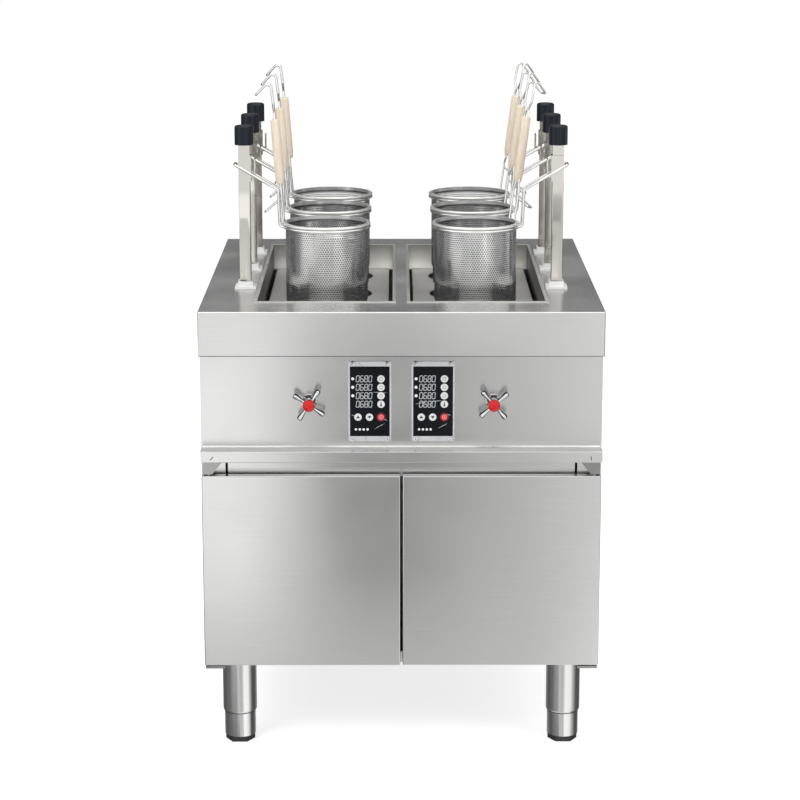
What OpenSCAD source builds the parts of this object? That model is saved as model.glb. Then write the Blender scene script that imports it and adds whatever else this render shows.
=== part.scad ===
// Pasta cooker with two water tanks and six automatic basket lifts.
// Millimetres, +Z up, the front faces -Y, the origin is on the floor under the middle of the deck.

/* [Deck and tanks] */
// Inside width of one tank
tank_w = 253.5; // [240:0.5:300]
// Inside depth of a tank, from the deck down to its floor
tank_depth = 255; // [235:1:280]
// Distance between the insides of the two tanks
tank_gap = 33; // [30:1:60]
// Deck in front of the tanks
deck_front = 100; // [90:1:140]
// Deck behind the tanks
deck_back = 91; // [70:1:140]
// Height of the folded apron round the deck
apron_h = 84; // [60:1:100]
// Width of the turned tank rim that lies on the deck
rim_w = 6; // [4:0.5:8]
// Guide plate below the deck
plate_drop = 49; // [40:1:60]
// Open slot along each side of a guide plate
plate_slot = 8; // [6:0.5:14]

/* [Cabinet] */
// Sheet thickness
sheet = 2; // [1.5:0.1:3]
// Floor to the underside of the cabinet
leg_h = 165; // [140:1:200]
// Door height
door_h = 371; // [340:1:420]
// Door thickness
door_t = 18; // [15:0.5:22]
// Finger gap between the ledge and the doors
recess_h = 26.5; // [22:0.5:35]
// Height of the ledge rail
ledge_h = 21.5; // [18:0.5:30]
// Visible height of the control fascia
fascia_h = 180; // [175:1:220]
// Fascia behind the front of the deck
fascia_set = 38; // [36:0.5:50]
// Diameter of the leg sleeves
leg_d = 65; // [55:0.5:75]
// Leg axis from the side and front of the deck
leg_inset = 64; // [55:1:90]

/* [Lifts] */
// First basket row behind the front wall of its tank
row_first = 154; // [130:1:180]
// Distance between the basket rows
row_pitch = 203; // [190:1:230]
// Last basket row to the back wall of its tank
row_last = 99; // [95:1:130]
// Side of the square column tube
column_w = 21.6; // [18:0.1:25]
// Column axis outside its tank
column_off = 30; // [29:0.5:45]
// Column axis to the side of the deck
column_edge = 75; // [66:1:100]
// Column above the deck when raised
column_top = 300; // [285:1:340]
// Stroke of a lift
lift_travel = 155; // [140:1:162]
// Cap diameter
cap_d = 36; // [34:0.5:44]
// Cap height
cap_h = 37; // [34:1:50]

/* [Baskets] */
// Outside diameter of a basket cup
cup_d = 158; // [140:1:168]
// Height of a basket cup
cup_h = 155; // [130:1:165]
// Rim wire above the deck when raised
rim_z = 126; // [122:1:140]
// Diameter of the rim and ring wires
rim_wire = 5.5; // [4:0.1:6]
// Diameter of the lift arm wire
arm_wire = 5; // [4:0.1:5.4]
// Diameter of the handle wire
handle_wire = 4.2; // [3:0.1:4.4]
// Outward lean of the left handles, in degrees
handle_lean_left = 4.5; // [3:0.1:9]
// Outward lean of the right handles, in degrees
handle_lean_right = 8.4; // [3:0.1:9]
// Turn of the right baskets in their rings, in degrees
basket_turn_right = 28; // [20:1:40]
// Length of a wooden grip
grip_l = 126; // [100:1:135]
// Diameter of a wooden grip
grip_d = 17; // [15:0.1:18.5]

/* [Controls] */
// Width of a control panel bezel
panel_w = 80; // [76:0.5:96]
// Height of a control panel bezel
panel_h = 153; // [148:0.5:170]
// Panel axis from the middle of the fascia
panel_x = 59; // [50:0.5:70]
// Tap axis from the middle of the fascia
tap_x = 172; // [150:1:220]
// Diameter of a flat key
key_d = 14; // [10:0.5:15]
// Span of a tap's cross handle
tap_span = 68; // [55:1:75]
// Diameter of a tap's button
tap_button_d = 23; // [18:0.5:26]

/* [Hidden] */
$fn = 64;

// Clearances, and the reach of a cut past the face that it opens
cut = 1;
slide_clear = 0.4;
wire_clear = 0.3;
weld_gap = 0.15;
pin_clear = 0.1;
ring_slack = 0.2;
handle_slack = 0.1;
hole_clear = 6;
door_gap = 4.4;

// Plan, measured from the middle of the deck
tank_x0 = tank_gap / 2;
tank_x1 = tank_x0 + tank_w;
tank_l = row_first + 2 * row_pitch + row_last;
column_x = tank_x1 + column_off;
basket_x = (tank_x0 + tank_x1) / 2;
deck_w = 2 * (column_x + column_edge);
deck_d = deck_front + tank_l + deck_back;
front_y = -deck_d / 2;
back_y = deck_d / 2;
tank_y0 = front_y + deck_front;
tank_y1 = tank_y0 + tank_l;
fascia_y = front_y + fascia_set;
rear_set = 22;
panel_back_y = back_y - rear_set;

// Heights above the floor
base_top = leg_h + sheet;
door_z0 = base_top;
door_z1 = door_z0 + door_h;
ledge_z0 = door_z1 + recess_h;
ledge_z1 = ledge_z0 + ledge_h;
apron_z0 = ledge_z1 + fascia_h;
deck_z = apron_z0 + apron_h;
deck_under = deck_z - sheet;
tank_floor = deck_z - tank_depth;
plate_z1 = deck_z - plate_drop;

// Lift stack: wires and collars
column_wall = 1.5;
column_tail = 150;
rod_d = 12;
rod_in = 20;
stop_gap = 10;
actuator_top = deck_z - column_tail - lift_travel - stop_gap;
rod_z = actuator_top - rod_in;
cup_wall = 1.2;
cup_round = 8;
rim_r = cup_d / 2 + weld_gap + rim_wire / 2;
ring_r = cup_d / 2 + wire_clear + ring_slack + rim_wire / 2;
ring_drop = sqrt(pow(rim_wire + wire_clear, 2) - pow(ring_r - rim_r, 2));
ring_z = rim_z - ring_drop;
bracket_side = 1.4;
arm_y = column_w / 2 + bracket_side + wire_clear + arm_wire / 2;
arm_foot = 7;
arm_bend_out = 10;
arm_bend_z = 192;
arm_loop_z = 240;
arm_bend_x = basket_x + ring_r + arm_bend_out;
arm_loop_out = 3;
arm_loop_x = column_x + arm_y + arm_loop_out;
arm_rise = (arm_loop_z - arm_bend_z) / (arm_loop_x - arm_bend_x);
wire_bend = 7;
bend_lap = 0.4;
bend_step = 0.06;
wire_step = 0.6;

// Hook bracket round the inner side of a column
bracket_t = 2.5;
bracket_w = 18;
bracket_drop = 10;
bracket_h = 50;
lip_h = 33;
bar_x = column_x - column_w / 2 - bracket_t - wire_clear - arm_wire / 2;
bar_z = arm_bend_z + (bar_x - arm_bend_x) * arm_rise;
web_z = bar_z - arm_wire / 2 - wire_clear;

// Handle of a basket: heights along its lean, offsets across it and outwards from it
handle_y = arm_y - arm_wire / 2 - wire_clear - handle_slack - handle_wire / 2;
handle_bend = 6;
groove_in = 0.6;
grip_y = grip_d / 2 - groove_in;
grip_t0 = 74;
grip_t1 = grip_t0 + grip_l;
grip_taper = 14;
grip_round = 2;
waist_t = [grip_t0 - 16, grip_t0 - 4];
shoulder_t = grip_t1 + 2;
neck_t = grip_t1 + 14;
neck_y = 3.2;
loop_t = [grip_t1 + 30, grip_t1 + 50];
loop_y = 12.5;
arch_t = grip_t1 + 67;
arch_y = 11;
arch_n = 11;
tip_t = grip_t1 + 49;
tip_n = 31;
tip_y = 9;
rest_hook_t = 49;
rest_hook_out = 32;
rest_hook_down = 27;

// Collars
collar_flange = 40.6;
collar_flange_h = 5;
collar_block = 28.6;
collar_block_h = 9;
collar_sleeve_h = 32;
collar_hole = column_w + 2 * slide_clear;

// Doors and hinges
door_set = 4;
door_skin = 1.5;
door_x1 = deck_w / 2 - sheet;
door_y = front_y + door_set;
hinge_in = 13;
hinge_x = door_x1 - hinge_in;
hinge_y = door_y + door_t / 2;
hinge_pin_d = 8;
hinge_pin_l = 12;
hinge_gap = 3;
hinge_w = 37;
hinge_block = 14;
hinge_plate_t = 5;
pin_wall = 4;
frame_clear = 2;
swing = sqrt(pow(hinge_in, 2) + pow(door_t / 2, 2));
frame_y = hinge_y + swing + frame_clear;
frame_rail = 34;
frame_stile = 21;
frame_slot_x = [325, 329.5];
frame_slot_end = 6;

// Controls
panel_drop = 16;
panel_z = apron_z0 - panel_drop - panel_h / 2;
bezel_t = 2;
bezel_side = 3;
bezel_end = 10;
keypad_seat = 2;
keypad_depth = 22;
key_proud = 0.6;
key_rows = 4;
key_pitch = 16.1;
key_x = 21;
key_top = 43.2;
lower_key_x = [-22, -0.6, 21];
lower_key_z = -29.9;
tap_drop = 94.3;
tap_z = apron_z0 - tap_drop;
tap_turn_left = -11;
tap_turn_right = 4;
tap_body_d = 26;
tap_body_l = 40;
tap_reach = 4;
tap_stem_d = 10;
tap_plate_d = 30;
tap_plate_t = 5;
tap_hub_d = 17;
tap_arm_d = 6.4;
tap_ball_d = 10;
tap_hub_l = 14;
tap_button_t = 7;
tap_button_round = 3;
tap_front = 1;
tap_hub_y = front_y + tap_front + tap_button_t;

// Legs
leg_wall = 2.5;
leg_plate_t = 4;
foot_step = 3;
foot_hex_h = 12;
foot_show = 46;
foot_in = 60;
foot_d = leg_d - 2 * leg_wall - 2 * wire_clear;
sleeve_z0 = foot_hex_h + foot_show;

// Heaters, pipes and actuators
heater_d = 9;
heater_rise = 28;
heater_end = 32;
heater_bend = 20;
heater_margin = 20;
heater_y = [24, 62];
heater_flange_t = 5;
drain_d = 40;
drain_wall = 2;
drain_drop = 75;
drain_flange_d = 64;
drain_flange_t = 4;
drain_bend = 48;
drain_thread_d = 41.9;
supply_d = 15;
supply_x = tap_x + 4;
supply_y = fascia_y + 24;
supply_drop = 33;
supply_bend = 24;
supply_thread_d = 21;
thread_l = 20;
gland_x = 290;
gland_d = 30;
gland_l = 16;
gland_bore = 16;
gland_wall = 3;
actuator_d = 30;
actuator_l = 200;
rod_spare = 5;
gearbox_h = 50;
gearbox_w = 40;
gearbox_y = [-24, 44];
motor_d = 34;
motor_h = 90;
motor_y = 26;
pillar_w = 24;
pillar_foot_w = 40;
pillar_foot_t = 4;
plate_rest_w = 5;
plate_rest_t = 3;
panel_fold = 18;
cap_round = 4.5;
cap_cover = 23;
column_floor = 10;

SIDES = ["left", "right"];
ROWS = ["front", "middle", "rear"];
CORNERS = ["left_front", "right_front", "left_rear", "right_rear"];
LIFT_PARTS = ["lift_column", "column_cap", "lift_arm", "basket", "basket_grip"];

steel = "#b9b9b7";
bright_steel = "#d4d4d2";
dark_steel = "#6d6f72";

// Depth of a basket row, 0 in front
function row_y(row) = tank_y0 + row_first + row * row_pitch;

function unit(v) = v / norm(v);

// Draws its children on the right, and mirrored on the left
module on_side(side) {
    if (side < 0) mirror([1, 0, 0]) children();
    else children();
}

module both_sides() {
    for (side = [-1, 1]) on_side(side) children();
}

// Draws its children at one lift, with Z from the deck and X outwards
module at_lift(side, row) {
    on_side(side) translate([0, row_y(row), deck_z]) children();
}

// Box between two corners
module span(a, b) {
    translate(a) cube(b - a);
}

// Upright square tube or bar, centred on its axis
module square_bar(w, h) {
    translate([-w / 2, -w / 2, 0]) cube([w, w, h]);
}

// Straight length of round wire
module rod(a, b, d) {
    v = b - a;
    translate(a) rotate([0, acos(v.z / norm(v)), atan2(v.y, v.x)]) cylinder(d = d, h = norm(v));
}

// Length that a bend takes from the wire on each side of a corner
function bend_cut(a, b, c, r) = r / tan(acos(unit(a - b) * unit(c - b)) / 2);

// Round bend of wire at the corner b, between a and c
module elbow(a, b, c, d, r) {
    u = unit(a - b);
    w = unit(c - b);
    half = acos(u * w) / 2;
    centre = b + unit(u + w) * r / sin(half);
    ex = unit(b + u * r / tan(half) - centre);
    ez = cross(ex, -u);
    multmatrix([[ex.x, -u.x, ez.x, centre.x],
                [ex.y, -u.y, ez.y, centre.y],
                [ex.z, -u.z, ez.z, centre.z],
                [0, 0, 0, 1]])
        rotate_extrude(angle = 180 - 2 * half) translate([r, 0]) circle(d = d);
}

// Wire along straight runs, with a round bend at every corner.
// A bend is a hair thicker than its runs, whose ends reach a little way into it.
module bent_wire(points, d, r) {
    last = len(points) - 1;
    cuts = [for (i = [0 : last]) i == 0 || i == last
        ? 0
        : bend_cut(points[i - 1], points[i], points[i + 1], r) - bend_lap];
    for (i = [0 : last - 1]) {
        run = unit(points[i + 1] - points[i]);
        rod(points[i] + run * cuts[i], points[i + 1] - run * cuts[i + 1], d);
    }
    for (i = [1 : last - 1])
        elbow(points[i - 1], points[i], points[i + 1], d + 2 * bend_step, r);
}

// A path on one side of a plane, followed by its mirror image across Y = 0
function mirrored_path(half) = concat(half, [for (i = [len(half) - 1 : -1 : 0])
    [half[i].x, -half[i].y, half[i].z]]);

// Point of a handle: t along its lean, y across it and n outwards from it
function handle_point(lean, t, y, n = 0) = [
    basket_x + rim_r + t * sin(lean) + n * cos(lean),
    y,
    rim_z + t * cos(lean) - n * sin(lean)
];

// Deck: a folded sheet with an apron, open below
module deck_top() {
    color(steel) difference() {
        span([-deck_w / 2, front_y, apron_z0], [deck_w / 2, back_y, deck_z]);
        difference() {
            span([-deck_w / 2 + sheet, front_y + sheet, apron_z0 - cut],
                 [deck_w / 2 - sheet, back_y - sheet, deck_under]);
            span([-deck_w / 2, front_y, apron_z0], [deck_w / 2, fascia_y, apron_z0 + sheet]);
        }
        both_sides() span([tank_x0 - sheet - wire_clear, tank_y0 - sheet - wire_clear, deck_under - cut],
                          [tank_x1 + sheet + wire_clear, tank_y1 + sheet + wire_clear, deck_z + cut]);
        for (side = [-1, 1]) for (row = [0 : 2])
            at_lift(side, row) translate([column_x, 0, -sheet - cut])
                square_bar(collar_block + 2 * wire_clear, sheet + 2 * cut);
    }
}

// Tanks: open boxes with a turned rim, a drain hole and rests for the guide plate
module tanks() {
    color(bright_steel) both_sides() difference() {
        union() {
            span([tank_x0 - sheet, tank_y0 - sheet, tank_floor - sheet],
                 [tank_x1 + sheet, tank_y1 + sheet, deck_z]);
            span([tank_x0 - rim_w, tank_y0 - rim_w, deck_z],
                 [tank_x1 + rim_w, tank_y1 + rim_w, deck_z + sheet]);
        }
        difference() {
            span([tank_x0, tank_y0, tank_floor], [tank_x1, tank_y1, deck_z + sheet + cut]);
            plate_rest(tank_y0, 1);
            plate_rest(tank_y1, -1);
        }
        translate([basket_x, (tank_y0 + tank_y1) / 2, tank_floor - sheet - cut])
            cylinder(d = drain_d - 2 * drain_wall, h = sheet + 2 * cut);
        for (y = heater_y) for (x = [-y, y])
            translate([basket_x + x, tank_y1 - cut, tank_floor + heater_rise]) rotate([-90, 0, 0])
                cylinder(d = heater_d + 2 * wire_clear, h = sheet + 2 * cut);
        translate([tap_x, tank_y0 + cut, tap_z]) rotate([90, 0, 0])
            cylinder(d = tap_stem_d + 2 * wire_clear, h = sheet + 2 * cut);
    }
}

// Welded strip that carries one end of a guide plate
module plate_rest(wall_y, inward) {
    y0 = min(wall_y, wall_y + inward * plate_rest_w);
    span([tank_x0, y0, plate_z1 - sheet - plate_rest_t], [tank_x1, y0 + plate_rest_w, plate_z1 - sheet]);
}

// Guide plates: one hole for each basket
module guide_plates() {
    color(steel) both_sides() difference() {
        span([tank_x0 + plate_slot, tank_y0 + wire_clear, plate_z1 - sheet],
             [tank_x1 - plate_slot, tank_y1 - wire_clear, plate_z1]);
        for (row = [0 : 2]) translate([basket_x, row_y(row), plate_z1 - sheet - cut])
            cylinder(d = cup_d + 2 * hole_clear, h = sheet + 2 * cut);
    }
}

// Heaters: two nested hairpin tubes on a flange behind each tank
module heaters() {
    z = tank_floor + heater_rise;
    color(dark_steel) both_sides() {
        for (i = [0 : len(heater_y) - 1]) {
            y_end = tank_y0 + heater_end + (len(heater_y) - 1 - i) * (heater_y[1] - heater_y[0]);
            bent_wire([[basket_x - heater_y[i], tank_y1 + sheet, z], [basket_x - heater_y[i], y_end, z],
                       [basket_x + heater_y[i], y_end, z], [basket_x + heater_y[i], tank_y1 + sheet, z]],
                      heater_d, heater_bend);
        }
        span([basket_x - heater_y[1] - heater_margin, tank_y1 + sheet, z - heater_margin],
             [basket_x + heater_y[1] + heater_margin, tank_y1 + sheet + heater_flange_t, z + heater_margin]);
    }
}

// Height of the drain outlets
function drain_z() = tank_floor - sheet - drain_drop;

// Drain pipes: from the tank floors, through the back panel
module drain_pipes() {
    top = [basket_x, (tank_y0 + tank_y1) / 2, tank_floor - sheet];
    turn = [top.x, top.y, drain_z()];
    outlet = [top.x, panel_back_y + thread_l, drain_z()];
    color(bright_steel) both_sides() difference() {
        union() {
            bent_wire([top, turn, outlet], drain_d, drain_bend);
            translate(top - [0, 0, drain_flange_t]) cylinder(d = drain_flange_d, h = drain_flange_t);
            rod([top.x, panel_back_y, drain_z()], outlet, drain_thread_d);
        }
        bent_wire([top + [0, 0, cut], turn, outlet + [0, cut, 0]], drain_d - 2 * drain_wall, drain_bend);
    }
}

// Side panels: folded at the front and the back
module side_panels() {
    x1 = deck_w / 2 - sheet;
    fold = panel_fold;
    y0 = fascia_y + sheet;
    color(steel) both_sides() translate([0, 0, leg_h]) linear_extrude(deck_under - leg_h)
        polygon([[x1, y0], [x1, panel_back_y - sheet], [x1 - fold, panel_back_y - sheet],
                 [x1 - fold, panel_back_y - 2 * sheet], [x1 - sheet, panel_back_y - 2 * sheet],
                 [x1 - sheet, y0 + sheet], [x1 - fold, y0 + sheet], [x1 - fold, y0]]);
}

// Back panel with holes for the drains, the water supply and the cable
module back_panel() {
    x1 = deck_w / 2 - sheet;
    color(steel) difference() {
        span([-x1, panel_back_y - sheet, leg_h], [x1, panel_back_y, deck_under]);
        both_sides() {
            back_hole(basket_x, drain_z(), drain_d + 2 * wire_clear);
            back_hole(supply_x, supply_z(), supply_d + 2 * wire_clear);
        }
        back_hole(gland_x, supply_z(), gland_bore + gland_wall);
    }
}

// Round hole through the back panel
module back_hole(x, z, d) {
    translate([x, panel_back_y + cut, z]) rotate([90, 0, 0]) cylinder(d = d, h = sheet + 2 * cut);
}

// Cable gland on the back panel
module cable_gland() {
    color("#22252a") translate([gland_x, panel_back_y, supply_z()]) rotate([-90, 0, 0]) difference() {
        union() {
            cylinder(d = gland_d, h = gland_l / 2, $fn = 6);
            cylinder(d = gland_bore + 2 * gland_wall, h = gland_l);
        }
        translate([0, 0, -cut]) cylinder(d = gland_bore, h = gland_l + 2 * cut);
    }
}

// Base panel between the side panels
module base_panel() {
    x1 = deck_w / 2 - 2 * sheet;
    color(steel) span([-x1, fascia_y + 2 * sheet, leg_h], [x1, panel_back_y - 2 * sheet, base_top]);
}

// Control fascia with holes for the taps and the panels
module control_fascia() {
    x1 = deck_w / 2 - sheet;
    color(steel) difference() {
        union() {
            span([-x1, fascia_y, ledge_z0], [x1, fascia_y + sheet, deck_under]);
            span([-deck_w / 2, fascia_y, ledge_z0], [deck_w / 2, fascia_y + sheet, apron_z0]);
        }
        both_sides() {
            translate([tap_x, fascia_y - cut, tap_z]) rotate([-90, 0, 0])
                cylinder(d = tap_body_d + 2 * wire_clear, h = sheet + 2 * cut);
            panel_box(keypad_w() - 2 * keypad_seat, keypad_h() - 2 * keypad_seat, -cut, sheet + cut);
        }
    }
}

// Ledge: a folded channel in front of the fascia
module ledge_rail() {
    x1 = deck_w / 2 - sheet / 2;
    y1 = fascia_set;
    color(steel) translate([-x1, front_y, ledge_z0]) rotate([90, 0, 90]) linear_extrude(2 * x1)
        polygon([[0, 0], [y1, 0], [y1, sheet], [sheet, sheet], [sheet, ledge_h - sheet],
                 [y1, ledge_h - sheet], [y1, ledge_h], [0, ledge_h]]);
}

// Front frame: a folded tray round the door opening, slotted beside the hinges
module front_frame() {
    x1 = deck_w / 2 - sheet;
    depth = fascia_y + sheet - frame_y;
    color(steel) difference() {
        span([-x1, frame_y, leg_h], [x1, frame_y + depth, ledge_z0]);
        span([-x1 + sheet, frame_y + sheet, leg_h + sheet],
             [x1 - sheet, frame_y + depth + cut, ledge_z0 - sheet]);
        span([-x1 + frame_stile, frame_y - cut, leg_h + frame_stile],
             [x1 - frame_stile, frame_y + depth + cut, ledge_z0 - frame_rail]);
        both_sides() span([frame_slot_x[0], frame_y - cut, ledge_z0 - frame_rail + frame_slot_end],
                          [frame_slot_x[1], frame_y + sheet + cut, ledge_z0 - sheet]);
    }
}

// Hinge brackets: wedges under the ledge and plates under the doors, each with its pin
module hinge_brackets() {
    x1 = door_x1 - hinge_gap / 2;
    color(dark_steel) both_sides() {
        translate([0, hinge_y + hinge_block / 2, 0]) rotate([90, 0, 0]) linear_extrude(hinge_block)
            polygon([[x1 - hinge_w, ledge_z0], [x1 - hinge_w / 2, door_z1 + hinge_gap],
                     [x1, door_z1 + hinge_gap], [x1, ledge_z0]]);
        translate([hinge_x, hinge_y, door_z1 - hinge_pin_l])
            cylinder(d = hinge_pin_d, h = hinge_pin_l + hinge_gap + cut);
        span([x1 - hinge_w, hinge_y - hinge_block / 2, leg_h - hinge_plate_t], [x1, frame_y + sheet, leg_h]);
        translate([hinge_x, hinge_y, leg_h - cut]) cylinder(d = hinge_pin_d, h = hinge_pin_l + cut);
    }
}

// Collars: two steps above the deck and a sleeve through it
module column_collars() {
    color("#eeeeec") for (side = [-1, 1]) for (row = [0 : 2])
        at_lift(side, row) translate([column_x, 0, 0]) difference() {
            union() {
                square_bar(collar_flange, collar_flange_h);
                square_bar(collar_block, collar_flange_h + collar_block_h);
                translate([0, 0, -collar_sleeve_h]) square_bar(collar_block, collar_sleeve_h);
            }
            translate([0, 0, -collar_sleeve_h - cut])
                square_bar(collar_hole, collar_sleeve_h + collar_flange_h + collar_block_h + 2 * cut);
        }
}

// Draws its children at the four legs
module at_leg(side, end) {
    translate([side * (deck_w / 2 - leg_inset), end * (deck_d / 2 - leg_inset), 0]) children();
}

module leg_sleeves() {
    color(bright_steel) for (side = [-1, 1]) for (end = [-1, 1])
        at_leg(side, end) difference() {
            translate([0, 0, sleeve_z0]) cylinder(d = leg_d, h = leg_h - sleeve_z0);
            translate([0, 0, sleeve_z0 - cut])
                cylinder(d = leg_d - 2 * leg_wall, h = leg_h - leg_plate_t - sleeve_z0 + cut);
        }
}

// Levelling foot: a tube in the sleeve on a hexagonal pad
module foot() {
    color(dark_steel) {
        cylinder(d = foot_d - foot_step, h = foot_hex_h, $fn = 6);
        translate([0, 0, foot_hex_h]) difference() {
            cylinder(d = foot_d, h = foot_show + foot_in - foot_hex_h);
            translate([0, 0, leg_wall]) cylinder(d = foot_d - 2 * leg_wall, h = foot_show + foot_in);
        }
    }
}

function keypad_w() = panel_w - 2 * bezel_side;
function keypad_h() = panel_h - 2 * bezel_end;

// Box on the axis of a control panel, between two depths behind the front of the fascia
module panel_box(w, h, y0, y1) {
    span([panel_x - w / 2, fascia_y + y0, panel_z - h / 2],
         [panel_x + w / 2, fascia_y + y1, panel_z + h / 2]);
}

// Bezels: thin frames screwed on the fascia
module panel_bezels() {
    color(bright_steel) both_sides() difference() {
        panel_box(panel_w, panel_h, -bezel_t, 0);
        panel_box(keypad_w(), keypad_h(), -bezel_t - cut, cut);
    }
}

// Keypads: a black face in the bezel and a housing behind the fascia
module panel_keypads() {
    seat = 2 * (keypad_seat + wire_clear);
    color("#16181c") both_sides() {
        panel_box(keypad_w() - 2 * pin_clear, keypad_h() - 2 * pin_clear, -bezel_t, 0);
        panel_box(keypad_w() - seat, keypad_h() - seat, -pin_clear, keypad_depth);
    }
}

// Keys: flat discs under the film of each keypad
module panel_keys() {
    color("#f2f2f0") for (side = [-1, 1])
        translate([side * panel_x, fascia_y - bezel_t, panel_z]) rotate([90, 0, 0]) {
            for (i = [0 : key_rows - 1])
                translate([key_x, key_top - i * key_pitch, 0]) cylinder(d = key_d, h = key_proud);
            for (x = lower_key_x) translate([x, lower_key_z, 0]) cylinder(d = key_d, h = key_proud);
        }
}

// Height of the water supply pipes, below the tanks
function supply_z() = tank_floor - supply_drop;

// Tap bodies: a plate on the fascia, a body behind it, a pipe into the tank and a pipe from the back
module tap_bodies() {
    inlet = [supply_x, panel_back_y + thread_l, supply_z()];
    color(bright_steel) both_sides() {
        translate([tap_x, fascia_y, tap_z]) rotate([-90, 0, 0]) {
            translate([0, 0, -tap_plate_t]) cylinder(d = tap_plate_d, h = tap_plate_t);
            cylinder(d = tap_body_d, h = tap_body_l);
            cylinder(d = tap_stem_d, h = tank_y0 - fascia_y + tap_reach);
            translate([0, 0, tap_hub_y + tap_hub_l - fascia_y + wire_clear])
                cylinder(d = tap_stem_d, h = fascia_y - tap_hub_y - tap_hub_l - wire_clear);
        }
        bent_wire([[supply_x, supply_y, tap_z], [supply_x, supply_y, supply_z()], inlet],
                  supply_d, supply_bend);
        rod([supply_x, panel_back_y, supply_z()], inlet, supply_thread_d);
    }
}

// Tap handle: a hub with four arms that end in balls
module tap_handle(turn) {
    reach = (tap_span - tap_ball_d) / 2;
    color(bright_steel) translate([0, tap_hub_y, 0]) rotate([-90, turn, 0]) {
        cylinder(d = tap_hub_d, h = tap_hub_l);
        for (i = [0 : 3]) rotate([0, 0, 45 + 90 * i]) translate([0, 0, tap_hub_l / 2]) {
            rotate([0, 90, 0]) cylinder(d = tap_arm_d, h = reach);
            translate([reach, 0, 0]) sphere(d = tap_ball_d);
        }
    }
}

// Tap button: a round cap on the hub
module tap_button() {
    color("#e0181c") translate([0, tap_hub_y, 0]) rotate([90, 0, 0]) rotate_extrude() {
        square([tap_button_d / 2, tap_button_t - tap_button_round]);
        square([tap_button_d / 2 - tap_button_round, tap_button_t]);
        translate([tap_button_d / 2 - tap_button_round, tap_button_t - tap_button_round])
            circle(r = tap_button_round);
    }
}

// Door: a double skin with a block for each pivot pin
module door() {
    x0 = door_gap / 2;
    block_w = 2 * hinge_in - 2 * door_skin;
    block_h = hinge_pin_l + pin_wall;
    color(steel) difference() {
        span([x0, door_y, door_z0], [door_x1, door_y + door_t, door_z1]);
        difference() {
            span([x0 + door_skin, door_y + door_skin, door_z0 + door_skin],
                 [door_x1 - door_skin, door_y + door_t - door_skin, door_z1 - door_skin]);
            for (z = [door_z0, door_z1 - block_h])
                span([door_x1 - block_w, door_y, z], [door_x1, door_y + door_t, z + block_h]);
        }
        for (z = [door_z0 - cut, door_z1 - hinge_pin_l - cut])
            translate([hinge_x, hinge_y, z])
                cylinder(d = hinge_pin_d + 2 * pin_clear, h = hinge_pin_l + 2 * cut);
    }
}

// Actuators: a tube for the push rod on a gearbox with its motor, standing on the base
module lift_actuators() {
    tube_z = actuator_top - actuator_l;
    color(dark_steel) for (side = [-1, 1]) for (row = [0 : 2])
        on_side(side) translate([column_x, row_y(row), 0]) difference() {
            union() {
                translate([0, 0, tube_z]) cylinder(d = actuator_d, h = actuator_l);
                span([-gearbox_w / 2, gearbox_y[0], tube_z - gearbox_h],
                     [gearbox_w / 2, gearbox_y[1], tube_z]);
                translate([0, motor_y, tube_z]) cylinder(d = motor_d, h = motor_h);
                translate([0, 0, base_top]) square_bar(pillar_w, tube_z - gearbox_h - base_top);
                translate([0, 0, base_top]) square_bar(pillar_foot_w, pillar_foot_t);
            }
            translate([0, 0, actuator_top - lift_travel - rod_in - rod_spare])
                cylinder(d = rod_d + 2 * slide_clear, h = lift_travel + rod_in + rod_spare + cut);
        }
}

// Column: a square tube with its hook bracket and the push rod below it
module lift_column() {
    x0 = column_x - column_w / 2;
    x1 = x0 - bracket_t;
    x2 = bar_x - arm_wire / 2 - wire_clear;
    x3 = x2 - bracket_t;
    x4 = column_x + column_w / 2;
    side_y = column_w / 2 + bracket_side;
    bracket_z0 = web_z - bracket_drop;
    color(bright_steel) {
        difference() {
            union() {
                translate([column_x, 0, -column_tail]) square_bar(column_w, column_tail + column_top);
                span([x1, -side_y, bracket_z0], [x4, side_y, bracket_z0 + bracket_h]);
            }
            translate([column_x, 0, column_floor - column_tail])
                square_bar(column_w - 2 * column_wall, column_tail + column_top);
        }
        translate([0, bracket_w / 2, 0]) rotate([90, 0, 0]) linear_extrude(bracket_w)
            polygon([[x0, bracket_z0], [x0, bracket_z0 + bracket_h], [x1, bracket_z0 + bracket_h],
                     [x1, web_z], [x2, web_z], [x2, web_z + lip_h], [x3, web_z + lip_h],
                     [x3, web_z - bracket_t], [x1, web_z - bracket_t], [x1, bracket_z0]]);
        translate([column_x, 0, rod_z - deck_z]) cylinder(d = rod_d, h = deck_z - column_tail - rod_z);
    }
}

// Cap: a rounded plug over the column
module column_cap() {
    color("#1a222e") translate([column_x, 0, column_top - cap_cover]) difference() {
        rotate_extrude() {
            square([cap_d / 2, cap_h - cap_round]);
            square([cap_d / 2 - cap_round, cap_h]);
            translate([cap_d / 2 - cap_round, cap_h - cap_round]) circle(r = cap_round);
        }
        translate([0, 0, -cut]) square_bar(column_w + 2 * pin_clear, cap_cover + cut);
    }
}

// Arm: a double wire round the column that ends in the ring under the basket rim
module lift_arm() {
    start_x = basket_x + sqrt(pow(ring_r, 2) - pow(arm_y, 2));
    foot_x = basket_x + ring_r + arm_foot;
    half = [[start_x, arm_y, ring_z], [foot_x, arm_y, ring_z], [arm_bend_x, arm_y, arm_bend_z],
            [arm_loop_x, arm_y, arm_loop_z]];
    color(bright_steel) {
        translate([basket_x, 0, ring_z]) rotate_extrude() translate([ring_r, 0]) circle(d = rim_wire);
        bent_wire(mirrored_path(half), arm_wire, wire_bend);
        rod([bar_x, -arm_y, bar_z], [bar_x, arm_y, bar_z], arm_wire - wire_step);
    }
}

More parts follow.
